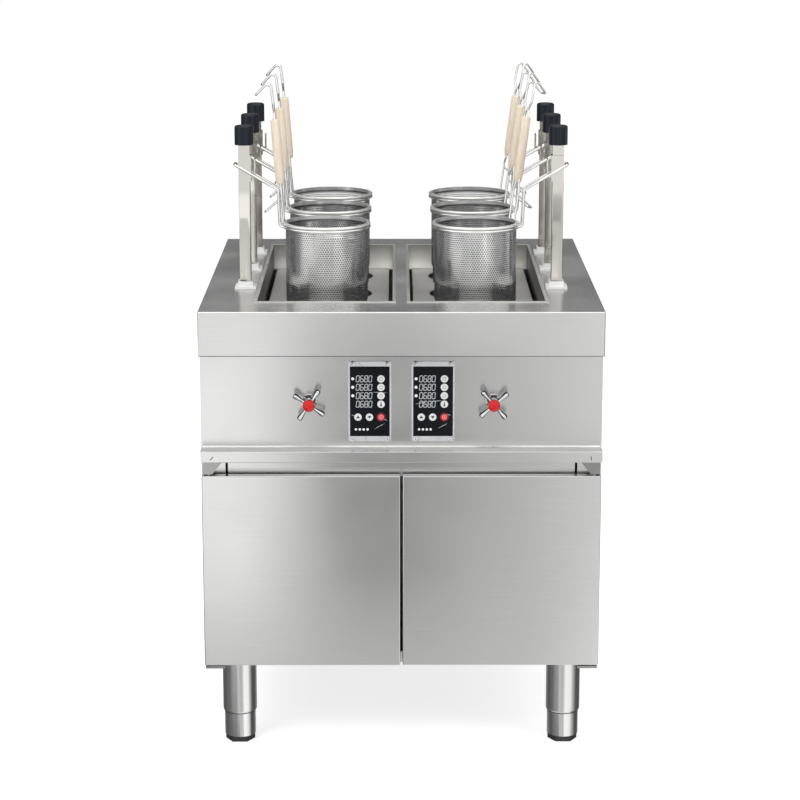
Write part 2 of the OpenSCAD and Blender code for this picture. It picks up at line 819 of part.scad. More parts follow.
// Basket: the sheet cup, and the rim wire with the handle and the rest hook
module basket(lean) {
    color(bright_steel) {
        translate([basket_x, 0, rim_z + rim_wire / 2 - cup_h]) cup();
        translate([basket_x, 0, rim_z]) rotate_extrude() translate([rim_r, 0]) circle(d = rim_wire);
        handle(lean);
        rest_hook(lean);
    }
}

module cup() {
    difference() {
        cup_form(cup_d / 2, cup_h, cup_round);
        translate([0, 0, cup_wall]) cup_form(cup_d / 2 - cup_wall, cup_h, cup_round - cup_wall);
    }
}

// Round plug with a rolled edge at its bottom
module cup_form(r, h, edge) {
    rotate_extrude() {
        translate([0, edge]) square([r, h - edge]);
        square([r - edge, h]);
        translate([r - edge, edge]) circle(r = edge);
    }
}

// Handle: one wire from the rim, through the grip, to a loop that hooks over, and back
module handle(lean) {
    half = [[basket_x + sqrt(pow(rim_r, 2) - pow(handle_y, 2)), handle_y, rim_z],
            handle_point(lean, waist_t[0], handle_y), handle_point(lean, waist_t[1], grip_y),
            handle_point(lean, shoulder_t, grip_y), handle_point(lean, neck_t, neck_y),
            handle_point(lean, loop_t[0], loop_y), handle_point(lean, loop_t[1], loop_y, 1),
            handle_point(lean, arch_t, arch_y, 2), handle_point(lean, arch_t, arch_y, arch_n),
            handle_point(lean, tip_t, tip_y, tip_n)];
    bent_wire(mirrored_path(half), handle_wire, handle_bend);
}

// Rest hook: a narrow loop that points down and out from the handle
module rest_hook(lean) {
    top = handle_point(lean, rest_hook_t, handle_y);
    half = [top, top + [rest_hook_out, 0, -rest_hook_down]];
    bent_wire(mirrored_path(half), handle_wire - wire_step, handle_bend);
}

// Grip: a turned beech handle with a groove for each wire
module basket_grip(lean) {
    r = grip_d / 2;
    color("#ecd9b8") translate(handle_point(lean, grip_t0, 0)) rotate([0, lean, 0]) difference() {
        rotate_extrude() polygon([[0, 0], [r - grip_round, 0], [r, grip_taper], [r, grip_l - grip_round],
                                  [r - grip_round, grip_l], [0, grip_l]]);
        for (y = [-grip_y, grip_y]) translate([0, y, -cut])
            cylinder(d = handle_wire + 2 * pin_clear, h = grip_l + 2 * cut);
    }
}

// Draws its children turned about the axis of a basket
module basket_turn(angle) {
    translate([basket_x, 0, 0]) rotate([0, 0, angle]) translate([-basket_x, 0, 0]) children();
}

module lift_part(part, side) {
    lean = side < 0 ? handle_lean_left : handle_lean_right;
    turn = side < 0 ? 0 : basket_turn_right;
    if (part == "lift_column") lift_column();
    if (part == "column_cap") column_cap();
    if (part == "lift_arm") lift_arm();
    if (part == "basket") basket_turn(turn) basket(lean);
    if (part == "basket_grip") basket_turn(turn) basket_grip(lean);
}

deck_top();
tanks();
guide_plates();
heaters();
drain_pipes();
side_panels();
back_panel();
base_panel();
control_fascia();
ledge_rail();
front_frame();
hinge_brackets();
column_collars();
leg_sleeves();
panel_bezels();
panel_keypads();
panel_keys();
tap_bodies();
lift_actuators();
cable_gland();
on_side(-1) door();  // door_left
on_side(1) door();  // door_right
translate([-tap_x, 0, tap_z]) tap_handle(tap_turn_left);  // tap_handle_left
translate([tap_x, 0, tap_z]) tap_handle(tap_turn_right);  // tap_handle_right
translate([-tap_x, 0, tap_z]) tap_button();  // tap_button_left
translate([tap_x, 0, tap_z]) tap_button();  // tap_button_right
for (side = [0, 1]) for (end = [0, 1])
    at_leg(2 * side - 1, 2 * end - 1) foot();
for (part = LIFT_PARTS) for (side = [0, 1]) for (row = [0 : 2])
    at_lift(2 * side - 1, row) lift_part(part, 2 * side - 1);
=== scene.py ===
"""Looks of a pasta cooker with two water tanks and six automatic basket lifts.

Everything is in metres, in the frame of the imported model: +Z is up, the front faces -Y, and the origin is on
the floor under the middle of the deck.
"""

import logging
import math
from collections.abc import Callable, Sequence
from dataclasses import dataclass
from enum import Enum, IntEnum

import bmesh
import bpy
from mathutils import Matrix, Vector

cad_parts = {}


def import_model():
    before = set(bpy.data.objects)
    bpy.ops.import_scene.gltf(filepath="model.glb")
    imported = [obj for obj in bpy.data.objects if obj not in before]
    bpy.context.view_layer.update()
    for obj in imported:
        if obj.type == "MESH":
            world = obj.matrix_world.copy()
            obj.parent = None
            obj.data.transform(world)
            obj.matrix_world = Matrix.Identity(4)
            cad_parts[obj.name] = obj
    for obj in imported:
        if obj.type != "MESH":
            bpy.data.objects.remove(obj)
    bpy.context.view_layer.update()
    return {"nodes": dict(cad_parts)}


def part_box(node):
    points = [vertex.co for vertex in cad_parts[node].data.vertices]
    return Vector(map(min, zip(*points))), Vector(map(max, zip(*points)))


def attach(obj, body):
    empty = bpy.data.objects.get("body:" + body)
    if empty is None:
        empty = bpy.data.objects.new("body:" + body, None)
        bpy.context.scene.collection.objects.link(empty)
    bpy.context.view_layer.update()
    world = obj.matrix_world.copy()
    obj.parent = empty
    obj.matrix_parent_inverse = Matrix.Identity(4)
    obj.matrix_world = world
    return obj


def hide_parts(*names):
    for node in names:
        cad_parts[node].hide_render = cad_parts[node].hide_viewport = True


LOG = logging.getLogger("pasta_cooker")
MM = 0.001
MERGE = 1e-6
WHITE = (1.0, 1.0, 1.0, 1.0)
FRONT_TILT = math.pi / 2
BACK_TILT = -math.pi / 2
# Range that most of a noise pattern lies in
NOISE_LOW, NOISE_HIGH = 0.3, 0.7

Colour = tuple[float, float, float, float]
Place = tuple[float, float, float]
Pairs = tuple[tuple[float, float], ...]
Outline = list[tuple[float, float]]
Nodes = dict[str, bpy.types.Object]
EdgeTest = Callable[[bmesh.types.BMEdge], bool]


class Named(Enum):
    """Choice whose name is a part of nodes' names."""

    @property
    def word(self) -> str:
        """Its name, as the nodes' names have it."""
        return self.name.lower()


class Side(Named):
    """Side of the cooker, as the cook sees it."""

    LEFT = -1
    RIGHT = 1


class Row(Named):
    """Row of baskets, with the depth of its axis."""

    FRONT = -0.171
    MIDDLE = 0.032
    REAR = 0.235


class Axis(Enum):
    """Way that a grain runs."""

    X = (1.0, 0.0, 0.0)
    Y = (0.0, 1.0, 0.0)
    Z = (0.0, 0.0, 1.0)


class Recess(Enum):
    """What a screwdriver fits: a number of slots, and their length as a share of the head."""

    SLOT = (1, 1.2)
    CROSS = (2, 0.72)


class Face(IntEnum):
    """Face of a node's outer box."""

    LEFT = 0
    RIGHT = 1
    FRONT = 2
    BACK = 3
    BOTTOM = 4
    TOP = 5


# How far each side's handles lean, baskets turn and taps turn, in degrees
HANDLE_LEAN = {Side.LEFT: 4.5, Side.RIGHT: 8.4}
BASKET_TURN = {Side.LEFT: 0.0, Side.RIGHT: 28.0}
TAP_TURN = {Side.LEFT: 11.0, Side.RIGHT: -4.0}


def linear(hex_colour: str) -> Colour:
    """Turns an sRGB hex colour into linear light.

    Args:
        hex_colour: Colour as "#rrggbb".

    Returns:
        Red, green, blue and an alpha of one.
    """
    parts = [int(hex_colour[i : i + 2], 16) / 255 for i in (1, 3, 5)]
    red, green, blue = (p / 12.92 if p <= 0.04045 else ((p + 0.055) / 1.055) ** 2.4 for p in parts)
    return red, green, blue, 1.0


def feed(tree: bpy.types.NodeTree, node: bpy.types.Node, inputs: dict) -> None:
    """Sets a node's inputs, and links those that are given as sockets or nodes.

    Args:
        tree: Tree that holds the node.
        node: Node to feed.
        inputs: Value, socket, or node whose first output is meant, for each input's name or number.
    """
    for key, value in inputs.items():
        source = value.outputs[0] if isinstance(value, bpy.types.Node) else value
        if isinstance(source, bpy.types.NodeSocket):
            tree.links.new(source, node.inputs[key])
        else:
            node.inputs[key].default_value = source


def add_node(
    tree: bpy.types.NodeTree, kind: str, inputs: dict | None = None, **settings: object
) -> bpy.types.Node:
    """Adds a node with its settings and links.

    Args:
        tree: Tree that gets the node.
        kind: Type of the node.
        inputs: Value, socket, or node whose first output is meant, for each input's name or number.
        settings: Properties of the node.

    Returns:
        The new node.
    """
    node = tree.nodes.new(kind)
    for name, value in settings.items():
        setattr(node, name, value)
    feed(tree, node, inputs or {})
    return node


def start_material(name: str) -> tuple[bpy.types.Material, bpy.types.NodeTree, bpy.types.Node]:
    """Starts a material.

    Args:
        name: Name of the material.

    Returns:
        The material, its tree and its shader.
    """
    material = bpy.data.materials.new(name)
    material.use_nodes = True
    return material, material.node_tree, material.node_tree.nodes["Principled BSDF"]


def uneven(
    tree: bpy.types.NodeTree,
    tint: bpy.types.Node,
    haze: bpy.types.Node,
    colours: tuple[str, str],
    roughness: float,
    spread: float,
) -> dict:
    """Lets two patterns vary the colour and the roughness of a surface.

    Args:
        tree: Tree of its material.
        tint: Pattern of the colour.
        haze: Pattern of the roughness.
        colours: Colours where the pattern is low and where it is high.
        roughness: Mean roughness.
        spread: Share by which the roughness falls and rises.

    Returns:
        Inputs of the shader.
    """
    low, high = (linear(colour) for colour in colours)
    colour = add_node(tree, "ShaderNodeMix", {0: tint, 6: low, 7: high}, data_type="RGBA")
    smooth, rough = roughness * (1 - spread), roughness * (1 + spread)
    level = add_node(tree, "ShaderNodeMapRange", {0: haze, 1: NOISE_LOW, 2: NOISE_HIGH, 3: smooth, 4: rough})
    return {"Base Color": colour.outputs[2], "Roughness": level}


@dataclass(frozen=True)
class Finish:
    """Finish of a piece."""

    name: str

    def shader_inputs(self, tree: bpy.types.NodeTree, place: bpy.types.NodeSocket) -> dict:
        """Adds the nodes of the finish.

        Args:
            tree: Tree of its material.
            place: Object coordinates.

        Returns:
            Inputs of the shader.
        """
        raise NotImplementedError

    def material(self) -> bpy.types.Material:
        """Makes the material the first time.

        Returns:
            The material.
        """
        if self.name in bpy.data.materials:
            return bpy.data.materials[self.name]
        material, tree, shader = start_material(self.name)
        place = add_node(tree, "ShaderNodeTexCoord").outputs["Object"]
        feed(tree, shader, self.shader_inputs(tree, place))
        return material


@dataclass(frozen=True)
class GroundSteel(Finish):
    """Stainless steel ground with a belt: long fine scratches smear what it mirrors across them."""

    grain: Axis
    bright: str = "#d9d9d8"
    dull: str = "#cfcfce"
    roughness: float = 0.2
    smear: float = 0.8
    relief: float = 0.012
    turned: bool = False
    # The real scratches are about 0.1 mm apart, and are drawn wider so that they show
    scratch_mm: float = 0.9
    run_mm: float = 80.0
    depth_mm: float = 0.1
    cloud_mm: float = 160.0
    spread: float = 0.15

    def shader_inputs(self, tree: bpy.types.NodeTree, place: bpy.types.NodeSocket) -> dict:
        """Adds the scratches, and smears reflections across them.

        Args:
            tree: Tree of the material.
            place: Object coordinates.

        Returns:
            Inputs of the shader.
        """
        across, along = 1 / (self.scratch_mm * MM), 1 / (self.run_mm * MM)
        stretch = tuple(along if bool(a) != self.turned else across for a in self.grain.value)
        drawn = add_node(tree, "ShaderNodeMapping", {"Vector": place, "Scale": stretch})
        lines = add_node(tree, "ShaderNodeTexNoise", {"Vector": drawn, "Scale": 1.0, "Detail": 2.0})
        wide = 1 / (self.cloud_mm * MM)
        cloud = add_node(tree, "ShaderNodeTexNoise", {"Vector": place, "Scale": wide, "Detail": 3.0})
        depth = {"Strength": self.relief, "Distance": self.depth_mm * MM, "Height": lines}
        facing = add_node(tree, "ShaderNodeNewGeometry").outputs["Normal"]
        grain = add_node(
            tree,
            "ShaderNodeVectorTransform",
            {0: self.grain.value},
            vector_type="VECTOR",
            convert_from="OBJECT",
            convert_to="WORLD",
        )
        crosswise = add_node(
            tree, "ShaderNodeVectorMath", {0: facing, 1: grain}, operation="CROSS_PRODUCT"
        )
        return {
            **uneven(tree, lines, cloud, (self.dull, self.bright), self.roughness, self.spread),
            "Metallic": 1.0,
            "Anisotropic": self.smear,
            "Normal": add_node(tree, "ShaderNodeBump", depth),
            "Tangent": grain if self.turned else crosswise,
        }


@dataclass(frozen=True)
class PolishedMetal(Finish):
    """Metal polished bright or plated: clear reflections with a slight haze that drifts over it."""

    bright: str
    dull: str
    roughness: float
    haze: float = 0.35
    cloud_mm: float = 14.0
    metal: float = 1.0

    def shader_inputs(self, tree: bpy.types.NodeTree, place: bpy.types.NodeSocket) -> dict:
        """Adds the haze.

        Args:
            tree: Tree of the material.
            place: Object coordinates.

        Returns:
            Inputs of the shader.
        """
        wide = 1 / (self.cloud_mm * MM)
        cloud = add_node(tree, "ShaderNodeTexNoise", {"Vector": place, "Scale": wide, "Detail": 4.0})
        colours = (self.dull, self.bright)
        return {**uneven(tree, cloud, cloud, colours, self.roughness, self.haze), "Metallic": self.metal}


@dataclass(frozen=True)
class MouldedPlastic(Finish):
    """Moulded plastic: an even colour with the fine spark-eroded texture of its mould."""

    colour: str
    shade: str
    roughness: float
    relief: float = 0.15
    texture_mm: float = 0.7
    depth_mm: float = 0.1
    glow: float = 0.0
    sheen: float = 0.5
    spread: float = 0.15

    def shader_inputs(self, tree: bpy.types.NodeTree, place: bpy.types.NodeSocket) -> dict:
        """Adds the texture of the mould.

        Args:
            tree: Tree of the material.
            place: Object coordinates.

        Returns:
            Inputs of the shader.
        """
        fine = 1 / (self.texture_mm * MM)
        grit = add_node(tree, "ShaderNodeTexNoise", {"Vector": place, "Scale": fine, "Detail": 2.0})
        depth = {"Strength": self.relief, "Distance": self.depth_mm * MM, "Height": grit}
        return {
            **uneven(tree, grit, grit, (self.shade, self.colour), self.roughness, self.spread),
            "Normal": add_node(tree, "ShaderNodeBump", depth),
            "Specular IOR Level": self.sheen,
            "Emission Color": linear(self.colour),
            "Emission Strength": self.glow,
        }


@dataclass(frozen=True)
class PrintedFilm(Finish):
    """Glossy polyester film over a keypad: black, and not quite flat."""

    colour: str
    shade: str
    roughness: float = 0.14
    sheen: float = 0.3
    wave_mm: float = 24.0
    depth_mm: float = 0.3
    relief: float = 0.25

    def shader_inputs(self, tree: bpy.types.NodeTree, place: bpy.types.NodeSocket) -> dict:
        """Adds the waves of the film.

        Args:
            tree: Tree of the material.
            place: Object coordinates.

        Returns:
            Inputs of the shader.
        """
        wide = 1 / (self.wave_mm * MM)
        wave = add_node(tree, "ShaderNodeTexNoise", {"Vector": place, "Scale": wide, "Detail": 2.0})
        tints = {0: wave, 6: linear(self.shade), 7: linear(self.colour)}
        depth = {"Strength": self.relief, "Distance": self.depth_mm * MM, "Height": wave}
        return {
            "Base Color": add_node(tree, "ShaderNodeMix", tints, data_type="RGBA").outputs[2],
            "Roughness": self.roughness,
            "Specular IOR Level": self.sheen,
            "Normal": add_node(tree, "ShaderNodeBump", depth),
        }


@dataclass(frozen=True)
class TurnedBeech(Finish):
    """Turned beech, sanded and oiled: pale, with long growth lines and short dark flecks."""

    pale: str = "#f6ebdb"
    tan: str = "#ecd9bf"
    fleck: str = "#d0b189"
    line_mm: float = 2.2
    line_run_mm: float = 55.0
    fleck_mm: float = 0.6
    fleck_run_mm: float = 6.0
    fleck_share: float = 0.6
    # Levels of the noise between which the lines and the flecks come out
    line_limits: tuple[float, float] = (0.35, 0.65)
    fleck_limits: tuple[float, float] = (0.6, 0.75)
    depth_mm: float = 0.2
    relief: float = 0.2
    roughness: tuple[float, float] = (0.42, 0.6)

    def shader_inputs(self, tree: bpy.types.NodeTree, place: bpy.types.NodeSocket) -> dict:
        """Adds the growth lines and the flecks.

        Args:
            tree: Tree of the material.
            place: Object coordinates.

        Returns:
            Inputs of the shader.
        """
        patterns = []
        for width, run in ((self.line_mm, self.line_run_mm), (self.fleck_mm, self.fleck_run_mm)):
            scale = (1 / (width * MM), 1 / (width * MM), 1 / (run * MM))
            drawn = add_node(tree, "ShaderNodeMapping", {"Vector": place, "Scale": scale})
            sizes = {"Vector": drawn, "Scale": 1.0, "Detail": 3.0}
            patterns.append(add_node(tree, "ShaderNodeTexNoise", sizes))
        grown, flecked = patterns
        low, high = self.line_limits
        lines = add_node(tree, "ShaderNodeMapRange", {0: grown, 1: low, 2: high})
        low, high = self.fleck_limits
        flecks = add_node(
            tree, "ShaderNodeMapRange", {0: flecked, 1: low, 2: high, 3: 0.0, 4: self.fleck_share}
        )
        tints = {0: lines, 6: linear(self.tan), 7: linear(self.pale)}
        wood = add_node(tree, "ShaderNodeMix", tints, data_type="RGBA").outputs[2]
        tints = {0: flecks, 6: wood, 7: linear(self.fleck)}
        depth = {"Strength": self.relief, "Distance": self.depth_mm * MM, "Height": lines}
        smooth, rough = self.roughness
        return {
            "Base Color": add_node(tree, "ShaderNodeMix", tints, data_type="RGBA").outputs[2],
            "Roughness": add_node(tree, "ShaderNodeMapRange", {0: grown, 3: smooth, 4: rough}),
            "Normal": add_node(tree, "ShaderNodeBump", depth),
        }


# Belt-ground stainless sheet, with its grain along the front, along the sides, or up the columns
SHEET_STEEL = GroundSteel("ground_stainless_front", Axis.X)
DECK_STEEL = GroundSteel("ground_stainless_deck", Axis.X, roughness=0.22, smear=0.95)
SIDE_STEEL = GroundSteel("ground_stainless_side", Axis.Y)
COLUMN_STEEL = GroundSteel(
    "ground_stainless_column", Axis.Z, "#dedad4", "#d4d0ca", roughness=0.11, smear=0.3
)
LEG_STEEL = GroundSteel("ground_stainless_leg", Axis.Z, roughness=0.22, turned=True)
# Cold-rolled stainless inside the tanks: a soft even sheen
TANK_STEEL = GroundSteel(
    "rolled_stainless_tank", Axis.X, "#b3b2ad", "#a5a49f", roughness=0.4, smear=0.4
)
# Side walls of the tanks, painted dark as the shade that they stay in beside the plates
TANK_SIDE_PAINTED_SHADE = GroundSteel(
    "rolled_stainless_tank_side", Axis.Y, "#4a4947", "#3d3c3a", roughness=0.45
)
PLATE_STEEL = GroundSteel(
    "rolled_stainless_plate", Axis.X, "#dcdbd6", "#cbcac5", roughness=0.5, smear=0.3
)
# Drawn stainless wire, polished by acid
WIRE_STEEL = PolishedMetal("polished_stainless_wire", "#efefed", "#e2e2e0", 0.09)
# Rims of the baskets, painted brighter and less mirror-like than the wire, as a highlight
RIM_PAINTED_HIGHLIGHT = PolishedMetal("painted_highlight_basket_rim", "#f2f2f0", "#e8e8e6", 0.2, metal=0.65)
# Punched stainless sheet of the cups
CUP_STEEL = PolishedMetal("punched_stainless_cup", "#fafaf9", "#f1f1f0", 0.17, metal=0.9)
# Inside of the cups and the walls of their holes, painted dark as the shade inside the cup
CUP_INSIDE_PAINTED_SHADE = PolishedMetal("painted_shade_cup_inside", "#696b6f", "#585a5e", 0.36)
# Bead-blasted stainless of the drain pipes and of the screws in the back
FITTING_STEEL = PolishedMetal("blasted_stainless_fitting", "#e6e6e3", "#dadad7", 0.2)
# Pressed stainless of the door hinges, greyer than the sheet round it
HINGE_STEEL = PolishedMetal("pressed_stainless_hinge", "#a6a6a4", "#8c8c8a", 0.16)
# Satin anodised aluminium of the bezels: pale, and only half mirror-like
BEZEL_ALUMINIUM = PolishedMetal("anodised_aluminium_bezel", "#e4e5e8", "#dadbdf", 0.35, metal=0.6)
# Nickel plate on the panel screws
SCREW_NICKEL = PolishedMetal("plated_nickel_screw", "#f6f6f4", "#eeeeec", 0.12)
# Chrome plate on brass
TAP_CHROME = PolishedMetal("plated_chrome_tap", "#e9eaeb", "#dedfe1", 0.05)
# The tap's sides and recesses, painted dark as shade and dark reflections
TAP_SIDE_PAINTED_SHADE = PolishedMetal("painted_shade_tap_sides", "#2f3033", "#242528", 0.16)
# Heat-stained tubes and plain steel inside the cabinet; the ledge screw heads take it as painted shade
DARK_STEEL_AND_SHADE = PolishedMetal("oxidised_steel_and_painted_shade", "#77797c", "#5d5f62", 0.42)
# Polyamide caps, glossy and nearly black
CAP_PLASTIC = MouldedPlastic(
    "moulded_polyamide_cap", "#0f1724", "#0b111b", 0.26, relief=0.04, sheen=0.3
)
PAD_PLASTIC = MouldedPlastic("moulded_polyamide_pad", "#2c2e31", "#232528", 0.5)
# Acetal guide collars, white and slightly waxy
COLLAR_PLASTIC = MouldedPlastic("machined_acetal_collar", "#f4f4f2", "#eaeae8", 0.38)
BUTTON_PLASTIC = MouldedPlastic("moulded_abs_button", "#de1015", "#cb0c11", 0.14, relief=0.02)
PANEL_FILM = PrintedFilm("polyester_film_panel", "#0e131c", "#080a0f")
# Creases of the clear film over the print, painted white as the highlight that they catch
CREASE_PAINTED_HIGHLIGHT = MouldedPlastic("painted_highlight_film_crease", "#dfe3e8", "#c3c8cf", 0.25, relief=0.03)
# Edges of folded sheet and walls of the tanks that face the rear, painted white as a highlight
PAINTED_HIGHLIGHT_STEEL = PolishedMetal("painted_highlight_white_edge", "#f4f4f2", "#ebebe9", 0.42, metal=0.7)
# Turned rims of the tanks, painted bright as a highlight
TANK_LIP_PAINTED_HIGHLIGHT = PolishedMetal("painted_highlight_tank_lip", "#dcdcd9", "#d0d0cd", 0.4, metal=0.85)
# Undersides of folds and the foot of the leg sleeves' chamfer, painted dark as shade where nothing lights them
PAINTED_SHADE_STEEL = PolishedMetal("painted_shade_underside", "#55555a", "#47474b", 0.5)
# Inks and lit windows of the panels: flat and even, the lit ones with a faint glow
KEY_WHITE = MouldedPlastic("printed_ink_key", "#f1f2f1", "#e4e6e5", 0.35, relief=0.03)
KEY_ICON = MouldedPlastic("printed_ink_icon", "#24282d", "#1b1e22", 0.4, relief=0.03)
KEY_FAINT = MouldedPlastic("printed_ink_faint", "#b4b8bb", "#a8acb0", 0.4, relief=0.03)
LAMP_WHITE = MouldedPlastic("lamp_window_white", "#f4f6f6", "#e6e9e9", 0.3, relief=0.03, glow=0.15)
DIGIT_GREY = MouldedPlastic("display_segment_grey", "#c3cacd", "#b6bdc1", 0.35, relief=0.03)
KEY_RED = MouldedPlastic("lit_key_red", "#a3141c", "#8f0f16", 0.3, relief=0.03, glow=0.2)
KEY_HALO = MouldedPlastic("lit_key_halo", "#4a0b12", "#3c080e", 0.3, relief=0.03, glow=0.1)
KEY_PINK = MouldedPlastic("lit_key_pink", "#f0878a", "#e87478", 0.3, relief=0.03, glow=0.2)
KEY_MARK = MouldedPlastic("lit_key_mark", "#c2161e", "#b01018", 0.3, relief=0.03, glow=0.2)
GRIP_BEECH = TurnedBeech("turned_beech_grip")


def link_object(name: str, mesh: bpy.types.Mesh) -> bpy.types.Object:
    """Puts a mesh into the scene.

    Args:
        name: Name of the object.
        mesh: Mesh that it shows.

    Returns:
        The new object.
    """
    obj = bpy.data.objects.new(name, mesh)
    bpy.context.scene.collection.objects.link(obj)
    return obj


def bake_modifiers(obj: bpy.types.Object) -> None:
    """Makes what an object's modifiers give its plain mesh.

    Args:
        obj: Object with modifiers.
    """
    graph = bpy.context.evaluated_depsgraph_get()
    shown = obj.evaluated_get(graph)
    mesh = bpy.data.meshes.new_from_object(shown, preserve_all_data_layers=True, depsgraph=graph)
    drawn = obj.data
    obj.modifiers.clear()
    obj.data = mesh
    bpy.data.meshes.remove(drawn)


def baked_mesh(obj: bpy.types.Object) -> bpy.types.Mesh:
    """Bakes an object's modifiers and keeps only its mesh.

    Args:
        obj: Object with modifiers, which is removed.

    Returns:
        The mesh.
    """
    bake_modifiers(obj)
    mesh = obj.data
    bpy.data.objects.remove(obj)
    return mesh


def shade(mesh: bpy.types.Mesh, angle: float) -> None:
    """Smooths a mesh, but for the edges sharper than an angle.

    Args:
        mesh: Mesh to smooth.
        angle: Largest bend that looks round, in degrees.
    """
    mesh.shade_smooth()
    mesh.set_sharp_from_angle(angle=math.radians(angle))


def dress(
    obj: bpy.types.Object, finish: Finish, body: str, slot: str, *nodes: str
) -> bpy.types.Object:
    """Gives a piece its finish and its body.

    Args:
        obj: Piece to dress.
        finish: Finish of the whole piece.
        body: Body that carries it.
        slot: Material slot of the record that it takes its finish from; it is not used.
        nodes: Nodes that it stands for.

    Returns:
        The same piece.
    """
    obj.data.materials.clear()
    obj.data.materials.append(finish.material())
    obj.data.polygons.foreach_set("material_index", [0] * len(obj.data.polygons))
    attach(obj, body)
    if nodes:
        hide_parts(*nodes)
    LOG.info("%s: %s on %s", obj.name, finish.name, body)
    return obj


def second_finish(
    obj: bpy.types.Object, finish: Finish, chosen: Callable[[bpy.types.MeshPolygon], bool]
) -> None:
    """Gives some faces of a dressed piece another finish.

    Args:
        obj: The piece.
        finish: Finish of the chosen faces.
        chosen: Test of the faces.
    """
    index = len(obj.data.materials)
    obj.data.materials.append(finish.material())
    for face in obj.data.polygons:
        if chosen(face):
            face.material_index = index


def paint(node: bpy.types.Object, finish: Finish) -> None:
    """Gives a node that keeps its shape a finish.

    Args:
        node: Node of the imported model.
        finish: Its finish.
    """
    for holder in node.material_slots:
        holder.material = finish.material()
    LOG.info("%s: %s", node.name, finish.name)


def mesh_from(bm: bmesh.types.BMesh, name: str) -> bpy.types.Mesh:
    """Turns an edit mesh into a mesh.

    Args:
        bm: Edit mesh, which is freed.
        name: Name of the mesh.

    Returns:
        The mesh.
    """
    mesh = bpy.data.meshes.new(name)
    bm.to_mesh(mesh)
    bm.free()
    return mesh


def joined(*meshes: bpy.types.Mesh) -> bmesh.types.BMesh:
    """Puts meshes into one edit mesh.

    Args:
        meshes: The meshes, which are removed.

    Returns:
        The edit mesh.
    """
    bm = bmesh.new()
    for mesh in meshes:
        bm.from_mesh(mesh)
        bpy.data.meshes.remove(mesh)
    return bm


def finished(
    bm: bmesh.types.BMesh, name: str, finish: Finish, body: str, slot: str, *nodes: str, angle: float = 0.0
) -> bpy.types.Object:
    """Turns an edit mesh into a dressed piece.

    Args:
        bm: Edit mesh, which is freed.
        name: Name of the piece.
        finish: Its finish.
        body: Body that carries it.
        slot: Material slot of the record that it takes its finish from.
        nodes: Nodes that it stands for.
        angle: Largest bend that looks round, in degrees, or zero for flat faces.

    Returns:
        The piece.
    """
    obj = link_object(name, mesh_from(bm, name))
    if angle:
        shade(obj.data, angle)
    return dress(obj, finish, body, slot, *nodes)


def rounded_piece(
    node: bpy.types.Object,
    radius_mm: float,
    finish: Finish,
    body: str,
    slot: str,
    chosen: EdgeTest | None = None,
    steps: int = 3,
    angle: float = 40.0,
    whole: bool = True,
) -> bpy.types.Object:
    """Dresses a copy of a node with its sharp edges rounded.

    Args:
        node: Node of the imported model.
        radius_mm: Radius of the rounded edges.
        finish: Finish of the copy.
        body: Body that carries it.
        slot: Material slot of the record that it takes its finish from.
        chosen: Test of the edges to round, or none for all sharp ones.
        steps: Faces round an edge.
        angle: Least bend of a sharp edge, in degrees.
        whole: Whether the loose triangles of a flat face become one face.

    Returns:
        The copy.
    """
    bm = bmesh.new()
    bm.from_mesh(node.data)
    bmesh.ops.remove_doubles(bm, verts=bm.verts, dist=MERGE)
    if whole:
        bmesh.ops.dissolve_limit(bm, angle_limit=math.radians(0.5), verts=bm.verts, edges=bm.edges)
    layer = bm.edges.layers.float.new("bevel_weight_edge")
    for edge in bm.edges:
        bent = len(edge.link_faces) == 2 and edge.calc_face_angle(0.0) > math.radians(angle)
        edge[layer] = float(bent and (chosen is None or chosen(edge)))
    obj = link_object(f"{node.name}_dressed", mesh_from(bm, node.name))
    shade(obj.data, 35.0)
    bevel = obj.modifiers.new("rounding", "BEVEL")
    bevel.limit_method = "WEIGHT"
    bevel.width = radius_mm * MM
    bevel.segments = steps
    bevel.harden_normals = True
    bake_modifiers(obj)
    return dress(obj, finish, body, slot, node.name)


def hull_edges(node: str, but: Sequence[Face] = ()) -> EdgeTest:
    """Makes a test for the edges of a node's outer box.

    Args:
        node: Name of the node.
        but: Faces of the box whose edges stay sharp.

    Returns:
        The test.
    """
    low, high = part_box(node)
    faces = [(axis, corner[axis]) for axis in range(3) for corner in (low, high)]

    def test(edge: bmesh.types.BMEdge) -> bool:
        """Tells whether an edge lies on two faces of the box, and none of those left out."""
        on = {
            face
            for face, (axis, value) in zip(Face, faces)
            if all(abs(v.co[axis] - value) < 0.01 * MM for v in edge.verts)
        }
        return len(on) == 2 and not on & set(but)

    return test


def long_upright(edge: bmesh.types.BMEdge) -> bool:
    """Tells whether an edge is a long upright one."""
    a, b = (v.co for v in edge.verts)
    return abs(a.z - b.z) > 0.1 and (a - b).xy.length < 0.1 * MM


def revolved(profile: Sequence[tuple[float, float]], segments: int) -> bmesh.types.BMesh:
    """Turns a closed outline about the Z axis.

    Args:
        profile: Radius and height of each corner, in millimetres.
        segments: Faces round the axis.

    Returns:
        The turned shape. Corners on the axis are merged.
    """
    bm = bmesh.new()
    rings = []
    for i in range(segments):
        turn = Matrix.Rotation(math.tau * i / segments, 3, "Z")
        rings.append([bm.verts.new(turn @ Vector((r * MM, 0.0, z * MM))) for r, z in profile])
    for a, b in zip(rings, rings[1:] + rings[:1]):
        for j in range(len(profile)):
            k = (j + 1) % len(profile)
            bm.faces.new((a[j], b[j], b[k], a[k]))
    bmesh.ops.remove_doubles(bm, verts=bm.verts, dist=MERGE)
    bmesh.ops.dissolve_degenerate(bm, edges=bm.edges, dist=MERGE)
    bmesh.ops.recalc_face_normals(bm, faces=bm.faces)
    return bm


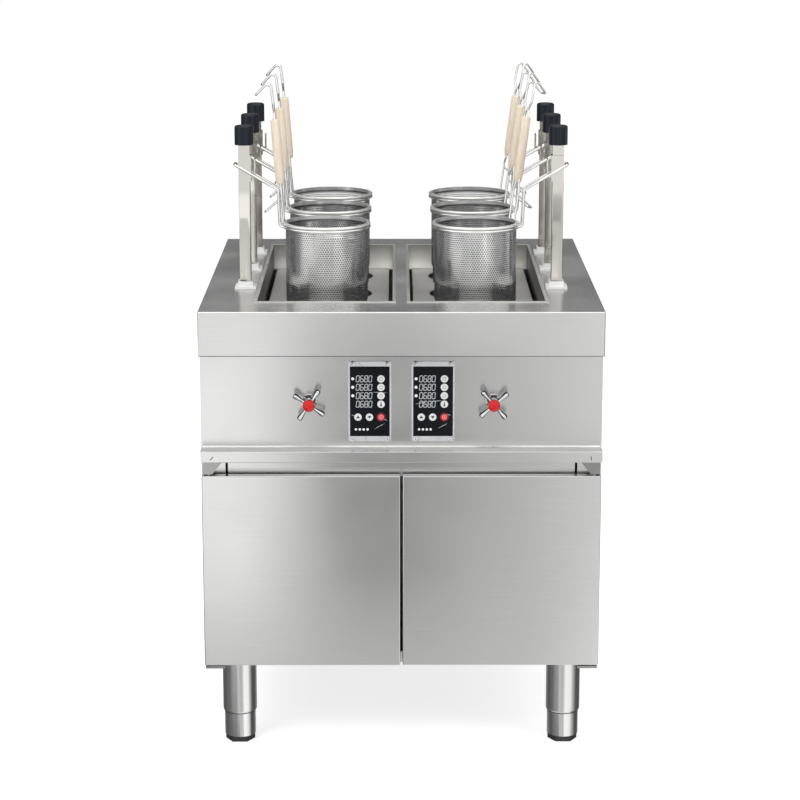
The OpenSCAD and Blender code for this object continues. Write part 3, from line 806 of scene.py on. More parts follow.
def quarter_turn() -> list[float]:
    """Returns the angles from 0 to 90 degrees that a small round is drawn with."""
    return [math.radians(15 * i) for i in range(7)]


def disc(x: float, z: float, diameter: float, corners: int = 28) -> Outline:
    """Gives the outline of a disc.

    Args:
        x: X of its middle.
        z: Z of its middle.
        diameter: Its diameter.
        corners: Number of corners.

    Returns:
        Its corners, counter-clockwise.
    """
    steps = [math.tau * i / corners for i in range(corners)]
    return [(x + diameter / 2 * math.cos(a), z + diameter / 2 * math.sin(a)) for a in steps]


def band_between(outer: Outline, inner: Outline) -> list[Outline]:
    """Gives the pieces of a closed band between two outlines.

    Args:
        outer: Its outer corners, counter-clockwise.
        inner: As many inner corners.

    Returns:
        Outline of each piece.
    """
    following = zip(outer[1:] + outer[:1], inner[1:] + inner[:1])
    return [[b, a, c, d] for (a, b), (c, d) in zip(zip(outer, inner), following)]


SOCKETS = {float: "NodeSocketFloat", int: "NodeSocketInt", bpy.types.Material: "NodeSocketMaterial"}


def start_tree(
    name: str, sizes: dict[str, object]
) -> tuple[bpy.types.NodeTree, bpy.types.bpy_prop_collection]:
    """Starts a geometry tree with a named input for each size.

    Args:
        name: Name of the tree.
        sizes: Value of each input, whose type the input takes.

    Returns:
        The tree and the sockets of its inputs.
    """
    tree = bpy.data.node_groups.new(name, "GeometryNodeTree")
    tree.interface.new_socket("Geometry", in_out="OUTPUT", socket_type="NodeSocketGeometry")
    tree.interface.new_socket("Geometry", in_out="INPUT", socket_type="NodeSocketGeometry")
    for size, value in sizes.items():
        tree.interface.new_socket(size, in_out="INPUT", socket_type=SOCKETS[type(value)])
    return tree, add_node(tree, "NodeGroupInput").outputs


def grown(
    name: str, mesh: bpy.types.Mesh, tree: bpy.types.NodeTree, sizes: dict[str, object]
) -> bpy.types.Object:
    """Puts a mesh into the scene and lets a geometry tree shape it.

    Args:
        name: Name of the object.
        mesh: Mesh that the tree starts from.
        tree: The tree.
        sizes: Value of each of its named inputs, which are set by their identifiers.

    Returns:
        The new object, with its modifier live.
    """
    obj = link_object(name, mesh)
    modifier = obj.modifiers.new("shape", "NODES")
    modifier.node_group = tree
    for item in tree.interface.items_tree:
        if item.item_type == "SOCKET" and item.in_out == "INPUT" and item.name in sizes:
            modifier[item.identifier] = sizes[item.name]
    return obj


@dataclass
class ScrewSet:
    """Screw heads at given places, turned at random about their axes."""

    name: str
    places: list[Place]
    head_mm: float
    dome_mm: float
    recess: Recess
    tilt: float
    finish: PolishedMetal = FITTING_STEEL
    seed: int = 7
    slot_share: float = 0.17

    def tree(self, sizes: dict[str, object]) -> bpy.types.NodeTree:
        """Builds the tree that sets a head on every point.

        Args:
            sizes: Value of each input.

        Returns:
            The tree.
        """
        tree, size = start_tree(f"{self.name}_heads", sizes)
        radius = add_node(tree, "ShaderNodeMath", {0: size["Head"], 1: 0.5}, operation="MULTIPLY")
        flat = add_node(tree, "ShaderNodeMath", {0: size["Dome"], 1: radius}, operation="DIVIDE")
        ball = add_node(tree, "GeometryNodeMeshUVSphere", {"Segments": 24, "Rings": 12, "Radius": radius})
        squash = add_node(tree, "ShaderNodeCombineXYZ", {0: 1.0, 1: 1.0, 2: flat})
        head = add_node(tree, "GeometryNodeTransform", {"Geometry": ball, "Scale": squash})
        slots, share = self.recess.value
        length = add_node(tree, "ShaderNodeMath", {0: size["Head"], 1: share}, operation="MULTIPLY")
        bar_size = add_node(tree, "ShaderNodeCombineXYZ", {0: length, 1: size["Slot"], 2: size["Dome"]})
        bar = add_node(tree, "GeometryNodeMeshCube", {"Size": bar_size})
        lift = add_node(tree, "ShaderNodeCombineXYZ", {2: size["Dome"]})
        cut = add_node(tree, "GeometryNodeMeshBoolean", {"Mesh 1": head}, operation="DIFFERENCE")
        for i in range(slots):
            move = {"Geometry": bar, "Translation": lift, "Rotation": (0.0, 0.0, i * math.pi / 2)}
            feed(tree, cut, {"Mesh 2": add_node(tree, "GeometryNodeTransform", move)})
        spun = add_node(
            tree,
            "FunctionNodeRandomValue",
            {"Min": 0.0, "Max": math.pi, "Seed": size["Seed"]},
            data_type="FLOAT",
        )
        chance = next(s for s in spun.outputs if s.type == "VALUE" and s.enabled)
        turned = add_node(tree, "ShaderNodeCombineXYZ", {0: size["Tilt"], 1: chance})
        heads = add_node(
            tree,
            "GeometryNodeInstanceOnPoints",
            {"Points": size["Geometry"], "Instance": cut, "Rotation": turned},
        )
        real = add_node(tree, "GeometryNodeRealizeInstances", {0: heads})
        steel = add_node(tree, "GeometryNodeSetMaterial", {"Geometry": real, "Material": size["Steel"]})
        add_node(tree, "NodeGroupOutput", {0: steel})
        return tree

    def build(self, body: str) -> None:
        """Makes the heads and sets them on a body.

        Args:
            body: Body that carries them.
        """
        sizes = {
            "Head": self.head_mm * MM,
            "Dome": self.dome_mm * MM,
            "Slot": self.head_mm * self.slot_share * MM,
            "Tilt": self.tilt,
            "Seed": self.seed,
            "Steel": self.finish.material(),
        }
        points = bpy.data.meshes.new(self.name)
        points.from_pydata(self.places, [], [])
        obj = grown(self.name, points, self.tree(sizes), sizes)
        bake_modifiers(obj)
        shade(obj.data, 40.0)
        dress(obj, self.finish, body, "bright_steel")


@dataclass
class BentWire:
    """Round wire along a route of straight runs, with a round bend at every corner."""

    name: str
    route: list[Vector]
    wire_mm: float
    bend_mm: float
    sides: int = 16
    bend_steps: int = 6

    def tree(self, sizes: dict[str, object]) -> bpy.types.NodeTree:
        """Builds the tree that rounds the corners of a route and gives it the wire's thickness.

        Args:
            sizes: Value of each input.

        Returns:
            The tree.
        """
        tree, size = start_tree(f"{self.name}_wire", sizes)
        route = add_node(tree, "GeometryNodeMeshToCurve", {"Mesh": size["Geometry"]})
        bends = {"Curve": route, "Radius": size["Bend"], "Count": size["Bend Steps"], "Limit Radius": True}
        rounded = add_node(tree, "GeometryNodeFilletCurve", bends, mode="POLY")
        radius = add_node(tree, "ShaderNodeMath", {0: size["Wire"], 1: 0.5}, operation="MULTIPLY")
        section = add_node(
            tree, "GeometryNodeCurvePrimitiveCircle", {"Resolution": size["Sides"], "Radius": radius}
        )
        drawn = {"Curve": rounded, "Profile Curve": section, "Fill Caps": True}
        wire = add_node(tree, "GeometryNodeCurveToMesh", drawn)
        steel = add_node(tree, "GeometryNodeSetMaterial", {"Geometry": wire, "Material": size["Steel"]})
        add_node(tree, "NodeGroupOutput", {0: steel})
        return tree

    def mesh(self) -> bpy.types.Mesh:
        """Makes the wire.

        Returns:
            Its mesh.
        """
        sizes = {
            "Wire": self.wire_mm * MM,
            "Bend": self.bend_mm * MM,
            "Sides": self.sides,
            "Bend Steps": self.bend_steps,
            "Steel": WIRE_STEEL.material(),
        }
        line = bpy.data.meshes.new(self.name)
        line.from_pydata(self.route, [(i, i + 1) for i in range(len(self.route) - 1)], [])
        return baked_mesh(grown(self.name, line, self.tree(sizes), sizes))


def welded(*parts: bpy.types.Mesh) -> bmesh.types.BMesh:
    """Joins the parts of one welded wire piece.

    Args:
        parts: Their meshes, which are removed.

    Returns:
        The piece.
    """
    bm = joined(*parts)
    bmesh.ops.recalc_face_normals(bm, faces=bm.faces)
    return bm


def hoop(middle: Vector, radius_mm: float, wire_mm: float) -> bpy.types.Mesh:
    """Makes a level ring of round wire.

    Args:
        middle: Its middle, in metres.
        radius_mm: Radius of the wire's middle line.
        wire_mm: Thickness of the wire.

    Returns:
        Its mesh.
    """
    bm = revolved(disc(radius_mm, 0.0, wire_mm, 16), 112)
    bm.transform(Matrix.Translation(middle))
    return mesh_from(bm, "hoop")


@dataclass
class PunchedCup:
    """Basket cup of punched sheet: a wall and a floor of staggered holes between plain rolled edges."""

    radius_mm: float = 79.0
    height_mm: float = 155.0
    sheet_mm: float = 0.9
    edge_mm: float = 1.3
    roll_mm: float = 3.0
    band_mm: float = 6.0
    lap_mm: float = 3.0
    columns: int = 104
    rows: int = 36
    hole: float = 0.74
    floor_mm: float = 67.0
    segments: int = 96

    def tree(self, wall: bool, sizes: dict[str, object]) -> bpy.types.NodeTree:
        """Builds the tree of the punched wall or the punched floor.

        Args:
            wall: Whether the sheet is rolled into a wall.
            sizes: Value of each input.

        Returns:
            The tree.
        """
        tree, size = start_tree("punched_wall" if wall else "punched_floor", sizes)
        round_way = add_node(tree, "ShaderNodeMath", {0: size["Radius"], 1: math.tau}, operation="MULTIPLY")
        pitch = add_node(tree, "ShaderNodeMath", {0: round_way, 1: size["Columns"]}, operation="DIVIDE")
        row_step = add_node(tree, "ShaderNodeMath", {0: pitch, 1: math.sqrt(3) / 2}, operation="MULTIPLY")
        across = add_node(tree, "ShaderNodeMath", {0: round_way, 1: pitch}, operation="SUBTRACT")
        steps = add_node(tree, "ShaderNodeMath", {0: size["Rows"], 1: 1.0}, operation="SUBTRACT")
        up = add_node(tree, "ShaderNodeMath", {0: row_step, 1: steps}, operation="MULTIPLY")
        spread = {"Size X": across, "Size Y": up, "Vertices X": size["Columns"], "Vertices Y": size["Rows"]}
        grid = add_node(tree, "GeometryNodeMeshGrid", spread)
        place = add_node(tree, "GeometryNodeInputPosition")
        flat = add_node(tree, "ShaderNodeSeparateXYZ", {0: place}).outputs
        # Every other row moves on by half a pitch
        half_up = add_node(tree, "ShaderNodeMath", {0: up, 1: 0.5}, operation="MULTIPLY")
        height = add_node(tree, "ShaderNodeMath", {0: flat[1], 1: half_up}, operation="ADD")
        rows_up = add_node(tree, "ShaderNodeMath", {0: height, 1: row_step}, operation="DIVIDE")
        row = add_node(tree, "ShaderNodeMath", {0: rows_up}, operation="ROUND")
        odd = add_node(tree, "ShaderNodeMath", {0: row, 1: 2.0}, operation="MODULO")
        half_pitch = add_node(tree, "ShaderNodeMath", {0: pitch, 1: 0.5}, operation="MULTIPLY")
        stagger = add_node(tree, "ShaderNodeMath", {0: odd, 1: half_pitch}, operation="MULTIPLY")
        shift = add_node(tree, "ShaderNodeCombineXYZ", {0: stagger})
        points = add_node(tree, "GeometryNodeSetPosition", {"Geometry": grid, "Offset": shift})
        if not wall:
            reach = add_node(tree, "ShaderNodeVectorMath", {0: place}, operation="LENGTH").outputs["Value"]
            limits = {0: reach, 1: size["Limit"]}
            far = add_node(tree, "FunctionNodeCompare", limits, operation="GREATER_THAN")
            points = add_node(tree, "GeometryNodeDeleteGeometry", {"Geometry": points, "Selection": far})
        # A six-sided cell with a hole stands on every point
        corner = add_node(tree, "ShaderNodeMath", {0: pitch, 1: math.sqrt(3)}, operation="DIVIDE")
        cell = add_node(tree, "GeometryNodeMeshCircle", {"Vertices": 6, "Radius": corner}, fill_type="NGON")
        pushed = add_node(tree, "GeometryNodeExtrudeMesh", {"Mesh": cell, "Offset Scale": 0.0}, mode="FACES")
        middle = pushed.outputs["Top"]
        shrink = {"Geometry": pushed.outputs["Mesh"], "Selection": middle, "Scale": size["Hole"]}
        shrunk = add_node(tree, "GeometryNodeScaleElements", shrink)
        opened = add_node(
            tree, "GeometryNodeDeleteGeometry", {"Geometry": shrunk, "Selection": middle}, domain="FACE"
        )
        laid = {"Points": points, "Instance": opened, "Rotation": (0.0, 0.0, math.pi / 6)}
        cells = add_node(tree, "GeometryNodeInstanceOnPoints", laid)
        sheet = add_node(tree, "GeometryNodeRealizeInstances", {0: cells})
        formed = {0: flat[0], 1: flat[1], 2: size["Lift"]}
        if wall:
            angle = add_node(tree, "ShaderNodeMath", {0: flat[0], 1: size["Radius"]}, operation="DIVIDE")
            inwards = add_node(tree, "ShaderNodeMath", {0: size["Radius"], 1: -1.0}, operation="MULTIPLY")
            sine = add_node(tree, "ShaderNodeMath", {0: angle}, operation="SINE")
            cosine = add_node(tree, "ShaderNodeMath", {0: angle}, operation="COSINE")
            formed = {
                0: add_node(tree, "ShaderNodeMath", {0: sine, 1: size["Radius"]}, operation="MULTIPLY"),
                1: add_node(tree, "ShaderNodeMath", {0: cosine, 1: inwards}, operation="MULTIPLY"),
                2: add_node(tree, "ShaderNodeMath", {0: flat[1], 1: size["Lift"]}, operation="ADD"),
            }
        rolled = add_node(tree, "ShaderNodeCombineXYZ", formed)
        shaped = add_node(tree, "GeometryNodeSetPosition", {"Geometry": sheet, "Position": rolled})
        closed = add_node(tree, "GeometryNodeMergeByDistance", {"Geometry": shaped, "Distance": 0.02 * MM})
        steel = add_node(tree, "GeometryNodeSetMaterial", {"Geometry": closed, "Material": size["Steel"]})
        add_node(tree, "NodeGroupOutput", {0: steel})
        return tree

    def punched(self, wall: bool) -> bpy.types.Mesh:
        """Makes the punched wall or floor, with the thickness of its sheet.

        Args:
            wall: Whether to make the wall.

        Returns:
            Its mesh, about the axis of the cup, with Z from its bottom.
        """
        middle = self.radius_mm - self.edge_mm / 2
        wall_middle = (self.roll_mm + self.lap_mm + self.height_mm - self.band_mm) / 2
        columns = self.columns if wall else 2 * round(self.columns / math.tau)
        sizes = {
            "Radius": middle * MM * columns / self.columns,
            "Columns": columns,
            "Rows": self.rows if wall else 2 * round(columns / math.sqrt(3)) + 1,
            "Hole": self.hole,
            "Lift": (wall_middle if wall else self.edge_mm / 2) * MM,
            "Limit": self.floor_mm * MM,
            "Steel": CUP_STEEL.material(),
        }
        obj = grown("punched", bpy.data.meshes.new("punched"), self.tree(wall, sizes), sizes)
        thickness = obj.modifiers.new("sheet", "SOLIDIFY")
        thickness.thickness = self.sheet_mm * MM
        thickness.offset = 0.0
        return baked_mesh(obj)

    def edges(self) -> list[bpy.types.Mesh]:
        """Makes the plain band under the rim and the rolled edge of the floor.

        Returns:
            Both rings.
        """
        r, t, roll, h = self.radius_mm, self.edge_mm, self.roll_mm, self.height_mm
        low, top = h - self.band_mm, roll + self.lap_mm
        band = [(r - t, low), (r, low), (r, h), (r - t, h)]
        arc = quarter_turn()
        outer = [(r - roll + roll * math.sin(a), roll - roll * math.cos(a)) for a in arc]
        inner = [(r - roll + (roll - t) * math.sin(a), roll - (roll - t) * math.cos(a)) for a in arc]
        inside = self.floor_mm - self.lap_mm
        rolled = [(inside, 0.0), *outer, (r, top), (r - t, top), *inner[::-1], (inside, t)]
        return [mesh_from(revolved(profile, self.segments), "edge") for profile in (band, rolled)]

    def mesh(self) -> bpy.types.Mesh:
        """Makes the whole cup.

        Returns:
            Its mesh, about its axis, with Z from its bottom.
        """
        cup = mesh_from(joined(*self.edges(), self.punched(True), self.punched(False)), "punched_cup")
        shade(cup, 30.0)
        return cup


@dataclass
class LiftPlace:
    """Place of one lift, with its own frame: X outwards, Y to the rear and Z up from the deck."""

    side: Side
    row: Row
    axis_x: float = 143.25
    deck_z: float = 850.0

    @property
    def words(self) -> str:
        """Side and row, as the nodes' names end."""
        return f"{self.side.word}_{self.row.word}"

    def spot(self, x: float, y: float, z: float, turn: float = 0.0) -> Vector:
        """Turns a place in the lift's frame into the model's frame.

        Args:
            x: Outwards, in millimetres.
            y: To the rear, in millimetres.
            z: Up from the deck, in millimetres.
            turn: Turn about the basket's axis, in degrees.

        Returns:
            The place, in metres.
        """
        across = Matrix.Rotation(math.radians(turn), 2) @ Vector((x - self.axis_x, y))
        out = (across.x + self.axis_x) * self.side.value
        return Vector((out * MM, self.row.value + across.y * MM, (self.deck_z + z) * MM))

    def double(self, half: Sequence[Place], turn: float = 0.0) -> list[Vector]:
        """Follows one half of a route and then its mirror image across Y = 0.

        Args:
            half: Corners in the lift's frame, in millimetres.
            turn: Turn about the basket's axis, in degrees.

        Returns:
            Corners of the whole route, in metres.
        """
        back = [(x, -y, z) for x, y, z in reversed(half)]
        return [self.spot(*corner, turn) for corner in [*half, *back]]


@dataclass
class Basket:
    """One basket: its punched cup, its wire frame and its grip."""

    place: LiftPlace
    band_z: float = 0.149
    rim_z: float = 126.0
    rim_mm: float = 81.9
    rim_wire: float = 5.5
    handle_wire: float = 4.2
    hook_wire: float = 3.6
    bend_mm: float = 6.0
    handle_y: float = 10.0
    # The wires run inside the grip, and come out of its ends
    buried_y: float = 6.4
    neck_mm: tuple[float, float] = (16.0, 4.0)
    shoulder_mm: float = 2.0
    # Hanging loop above the grip: along the handle, across it and outwards from it
    loop_mm: tuple[Place, ...] = (
        (14.0, 3.2, 0.0), (30.0, 12.5, 0.0), (50.0, 12.5, 1.0), (67.0, 11.0, 2.0), (67.0, 11.0, 11.0),
        (49.0, 9.0, 31.0),
    )
    grip_t: tuple[float, float] = (74.0, 200.0)
    grip_mm: float = 9.0
    # Tapered foot and rounded head of the grip: cut off its radius, and distance from its end
    grip_foot: Pairs = ((3.0, 0.0), (2.2, 0.5), (1.4, 3.0), (0.5, 9.0), (0.0, 15.0))
    grip_head: Pairs = ((0.0, 3.0), (0.5, 1.1), (1.6, 0.0))
    hook_t: float = 49.0
    hook_reach: tuple[float, float] = (32.0, -27.0)

    @property
    def node(self) -> str:
        """Name of the basket's node and body."""
        return f"basket_{self.place.words}"

    @property
    def turn(self) -> float:
        """Turn of the basket about its axis, in degrees."""
        return BASKET_TURN[self.place.side]

    def on_handle(self, t: float, y: float, n: float = 0.0) -> Place:
        """Gives a place on the handle, in the lift's frame.

        Args:
            t: Along its lean, in millimetres.
            y: Across it.
            n: Outwards from it.

        Returns:
            The place, in millimetres.
        """
        lean = math.radians(HANDLE_LEAN[self.place.side])
        sine, cosine = math.sin(lean), math.cos(lean)
        out = self.place.axis_x + self.rim_mm + t * sine + n * cosine
        return out, y, self.rim_z + t * cosine - n * sine

    def cup(self, pattern: bpy.types.Mesh) -> None:
        """Sets a copy of the punched cup in the frame.

        Args:
            pattern: Mesh of the cup about its own axis.
        """
        low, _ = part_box(self.node)
        mesh = pattern.copy()
        middle = self.place.spot(self.place.axis_x, 0.0, 0.0)
        mesh.transform(Matrix.Translation((middle.x, middle.y, low.z)))
        obj = link_object(f"cup_{self.place.words}", mesh)
        dress(obj, CUP_STEEL, self.node, "bright_steel", self.node)
        top = low.z + self.band_z

        def inner(face: bpy.types.MeshPolygon) -> bool:
            """Tells whether a face below the band looks inwards, or is the wall of a hole."""
            outwards = (face.center.xy - middle.xy).normalized()
            plain = face.normal.xy.dot(outwards) > 0.5 or face.normal.z < -0.5
            return not plain and face.center.z < top

        # The inside and the walls of the holes get a painted shade
        second_finish(obj, CUP_INSIDE_PAINTED_SHADE, inner)
        # The band under the rim gets a painted highlight
        second_finish(obj, RIM_PAINTED_HIGHLIGHT, lambda face: face.center.z > top)

    def frame(self) -> None:
        """Bends the rim wire, the handle with its hanging loop, and the rest hook."""
        foot, head = self.grip_t
        below, above = self.neck_mm
        handle = [
            (self.place.axis_x + math.sqrt(self.rim_mm**2 - self.handle_y**2), self.handle_y, self.rim_z),
            self.on_handle(foot - below, self.handle_y),
            self.on_handle(foot - above, self.buried_y),
            self.on_handle(head + self.shoulder_mm, self.buried_y),
            *(self.on_handle(head + t, y, n) for t, y, n in self.loop_mm),
        ]
        x, y, z = self.on_handle(self.hook_t, self.handle_y)
        hook = [(x, y, z), (x + self.hook_reach[0], y, z + self.hook_reach[1])]
        double = self.place.double
        bm = welded(
            hoop(self.place.spot(self.place.axis_x, 0.0, self.rim_z), self.rim_mm, self.rim_wire),
            BentWire("handle", double(handle, self.turn), self.handle_wire, self.bend_mm).mesh(),
            BentWire("rest_hook", double(hook, self.turn), self.hook_wire, self.bend_mm).mesh(),
        )
        name = f"basket_frame_{self.place.words}"
        obj = finished(bm, name, WIRE_STEEL, self.node, "wire_steel", self.node, angle=50.0)
        rim_top = (self.place.deck_z + self.rim_z + self.rim_wire / 2) * MM
        # The rim wire and what lies below its top get a painted highlight
        second_finish(obj, RIM_PAINTED_HIGHLIGHT, lambda face: face.center.z < rim_top)

    def grip(self) -> None:
        """Turns the grip, with a tapered foot and rounded ends."""
        foot, head = (self.place.spot(*self.on_handle(t, 0.0), self.turn) for t in self.grip_t)
        r, length = self.grip_mm, self.grip_t[1] - self.grip_t[0]
        lower = [(r - cut, z) for cut, z in self.grip_foot]
        upper = [(r - cut, length - z) for cut, z in self.grip_head]
        bm = revolved([(0.0, 0.0), *lower, *upper, (0.0, length)], 32)
        aim = (head - foot).to_track_quat("Z", "Y").to_matrix().to_4x4()
        bm.transform(Matrix.Translation(foot) @ aim)
        node = f"basket_grip_{self.place.words}"
        finished(bm, f"{node}_dressed", GRIP_BEECH, self.node, "beech", node, angle=40.0)


@dataclass
class Lift:
    """One lift: its square column, its cap and its wire arm."""

    place: LiftPlace
    corner_mm: float = 1.4
    ring_mm: float = 82.25
    ring_z: float = 120.2106
    ring_wire: float = 5.5
    arm_wire: float = 5.0
    arm_y: float = 15.0
    bend_mm: float = 7.0
    foot_out: float = 7.0
    bend_out: float = 10.0
    bend_z: float = 192.0
    loop_x: float = 318.0
    loop_z: float = 240.0
    bar_x: float = 283.9
    bar_wire: float = 4.4

    def arm(self) -> None:
        """Bends the double wire round the column, with its ring and its cross bar."""
        axis = self.place.axis_x
        bend_x = axis + self.ring_mm + self.bend_out
        half = [
            (axis + math.sqrt(self.ring_mm**2 - self.arm_y**2), self.arm_y, self.ring_z),
            (axis + self.ring_mm + self.foot_out, self.arm_y, self.ring_z),
            (bend_x, self.arm_y, self.bend_z),
            (self.loop_x, self.arm_y, self.loop_z),
        ]
        rise = (self.loop_z - self.bend_z) / (self.loop_x - bend_x)
        bar_z = self.bend_z + (self.bar_x - bend_x) * rise
        bar = [self.place.spot(self.bar_x, y, bar_z) for y in (-self.arm_y, self.arm_y)]
        bm = welded(
            hoop(self.place.spot(axis, 0.0, self.ring_z), self.ring_mm, self.ring_wire),
            BentWire("arm", self.place.double(half), self.arm_wire, self.bend_mm).mesh(),
            BentWire("cross_bar", bar, self.bar_wire, self.bend_mm).mesh(),
        )
        node = f"lift_arm_{self.place.words}"
        body = f"lift_{self.place.words}"
        finished(bm, f"{node}_dressed", WIRE_STEEL, body, "wire_steel", node, angle=50.0)

    def build(self, nodes: Nodes) -> None:
        """Rounds the column's corners, bends the arm and paints the cap.

        Args:
            nodes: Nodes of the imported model.
        """
        words = self.place.words
        column = nodes[f"lift_column_{words}"]
        rounded_piece(column, self.corner_mm, COLUMN_STEEL, f"lift_{words}", "bright_steel", long_upright)
        self.arm()
        paint(nodes[f"column_cap_{words}"], CAP_PLASTIC)


@dataclass
class Cabinet:
    """Folded sheet parts of the cabinet, with the tanks and what is behind the doors."""

    fold_mm: float = 2.4
    fold_steps: int = 5
    ledge_fold_mm: float = 1.6
    rim_edge_mm: float = 0.8
    edge_mm: float = 0.5
    lip_z: float = 0.848
    deck_z: float = 0.85
    fascia_y: float = -0.387
    lip_mm: float = 2.2
    lip_x: float = 0.3725
    back_y: float = 0.403
    screw_x: float = 0.362
    screw_z: tuple[float, ...] = (0.19, 0.39, 0.59, 0.79)
    screw_mm: tuple[float, float] = (9.0, 2.2)
    ledge_screw: Place = (0.353, -0.4249, 0.573)
    ledge_screw_mm: tuple[float, float] = (9.5, 0.7)
    # Limits of a face's normal, by which it is taken as a side, an underside with painted shade, or a tank
    # wall with painted shade or a painted highlight
    side_facing: float = 0.7
    under_facing: float = -0.2
    wall_facing: float = 0.9

    def build(self, nodes: Nodes) -> None:
        """Rounds the folds and paints the plain parts.

        Args:
            nodes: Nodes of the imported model.
        """
        self.deck(nodes["deck_top"])
        self.ledge_lip()
        ledge = hull_edges("ledge_rail", but=(Face.LEFT, Face.RIGHT, Face.BACK))
        sides = hull_edges("side_panels", but=(Face.BOTTOM, Face.TOP))
        for name, radius, finish, slot, chosen in (
            ("ledge_rail", self.ledge_fold_mm, SHEET_STEEL, "satin_steel", ledge),
            ("side_panels", self.fold_mm, SIDE_STEEL, "satin_steel", sides),
            ("column_collars", self.edge_mm, COLLAR_PLASTIC, "white_plastic", None),
            ("hinge_brackets", self.edge_mm, HINGE_STEEL, "bright_steel", None),
        ):
            rounded_piece(nodes[name], radius, finish, "cabinet", slot, chosen)
        self.tanks(nodes["tanks"])
        for finish, names in (
            (PLATE_STEEL, ("guide_plates",)),
            (SHEET_STEEL, ("control_fascia", "front_frame", "back_panel", "base_panel")),
            (DARK_STEEL_AND_SHADE, ("heaters", "lift_actuators")),
            (FITTING_STEEL, ("drain_pipes",)),
            (PAD_PLASTIC, ("cable_gland",)),
        ):
            for name in names:
                paint(nodes[name], finish)
        self.screws()

    def deck(self, node: bpy.types.Object) -> None:
        """Rounds the deck's outer folds, but for the thin lower edges at its sides and back.

        Args:
            node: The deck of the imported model.
        """
        upper = hull_edges("deck_top", but=(Face.BOTTOM,))
        front = hull_edges("deck_top", but=(Face.LEFT, Face.RIGHT, Face.BACK, Face.TOP))
        deck = rounded_piece(
            node,
            self.fold_mm,
            DECK_STEEL,
            "cabinet",
            "satin_steel",
            lambda edge: upper(edge) or front(edge),
            self.fold_steps,
        )
        second_finish(deck, SIDE_STEEL, lambda face: abs(face.normal.x) > self.side_facing)
        # Faces that look down get a painted shade
        second_finish(deck, PAINTED_SHADE_STEEL, lambda face: face.normal.z < self.under_facing)

    def tanks(self, node: bpy.types.Object) -> None:
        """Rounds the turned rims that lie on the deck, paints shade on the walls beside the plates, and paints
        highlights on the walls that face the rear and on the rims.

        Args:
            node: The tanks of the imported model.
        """
        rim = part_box("tanks")[1].z - 0.1 * MM
        tanks = rounded_piece(
            node,
            self.rim_edge_mm,
            TANK_STEEL,
            "cabinet",
            "satin_steel",
            lambda edge: all(v.co.z > rim for v in edge.verts),
        )
        # The side walls get a painted shade, and the walls that face the rear a painted highlight
        for finish, sideways in ((TANK_SIDE_PAINTED_SHADE, True), (PAINTED_HIGHLIGHT_STEEL, False)):
            second_finish(tanks, finish, lambda face: self.is_wall(face, sideways))
        # The rims above the deck get a painted highlight
        second_finish(tanks, TANK_LIP_PAINTED_HIGHLIGHT, lambda face: face.center.z > self.deck_z)

    def is_wall(self, face: bpy.types.MeshPolygon, sideways: bool) -> bool:
        """Tells whether a face below the deck is on a side wall, or on one that faces the rear.

        Args:
            face: Face of the tanks.
            sideways: Whether to ask for a side wall.

        Returns:
            The answer.
        """
        turned = abs(face.normal.x) if sideways else face.normal.y
        return turned > self.wall_facing and face.center.z < self.lip_z

    def ledge_lip(self) -> None:
        """Lays the narrow turned-up edge of the ledge along the fascia."""
        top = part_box("ledge_rail")[1].z
        bm = bmesh.new()
        ends = []
        for x in (-self.lip_x, self.lip_x):
            corners = [(0.0, 0.0), (-self.lip_mm, 0.0), (0.0, self.lip_mm)]
            ends.append([bm.verts.new((x, self.fascia_y + y * MM, top + z * MM)) for y, z in corners])
        bm.faces.new(ends[0])
        bm.faces.new(ends[1][::-1])
        for i in range(3):
            j = (i + 1) % 3
            bm.faces.new((ends[0][i], ends[1][i], ends[1][j], ends[0][j]))
        bmesh.ops.recalc_face_normals(bm, faces=bm.faces)
        # The lip is painted white as the highlight along the ledge's edge
        finished(bm, "ledge_lip", PAINTED_HIGHLIGHT_STEEL, "cabinet", "satin_steel")

    def screws(self) -> None:
        """Sets the screws of the back panel and of the ledge."""
        places = [(s.value * self.screw_x, self.back_y, z) for s in Side for z in self.screw_z]
        ScrewSet("back_screws", places, *self.screw_mm, Recess.CROSS, BACK_TILT).build("cabinet")
        x, y, z = self.ledge_screw
        places = [(s.value * x, y, z) for s in Side]
        # The ledge screws are painted dark as shade
        screws = ScrewSet("ledge_screws", places, *self.ledge_screw_mm, Recess.SLOT, FRONT_TILT, DARK_STEEL_AND_SHADE)
        screws.build("cabinet")


@dataclass
class Doors:
    """Two double-skinned doors."""

    fold_mm: float = 2.0
    fold_steps: int = 4

    def build(self, nodes: Nodes) -> None:
        """Rounds the folds of the doors.

        Args:
            nodes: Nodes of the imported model.
        """
        for side in Side:
            name = f"door_{side.word}"
            folds = hull_edges(name)
            rounded_piece(
                nodes[name], self.fold_mm, SHEET_STEEL, name, "satin_steel", folds, self.fold_steps
            )


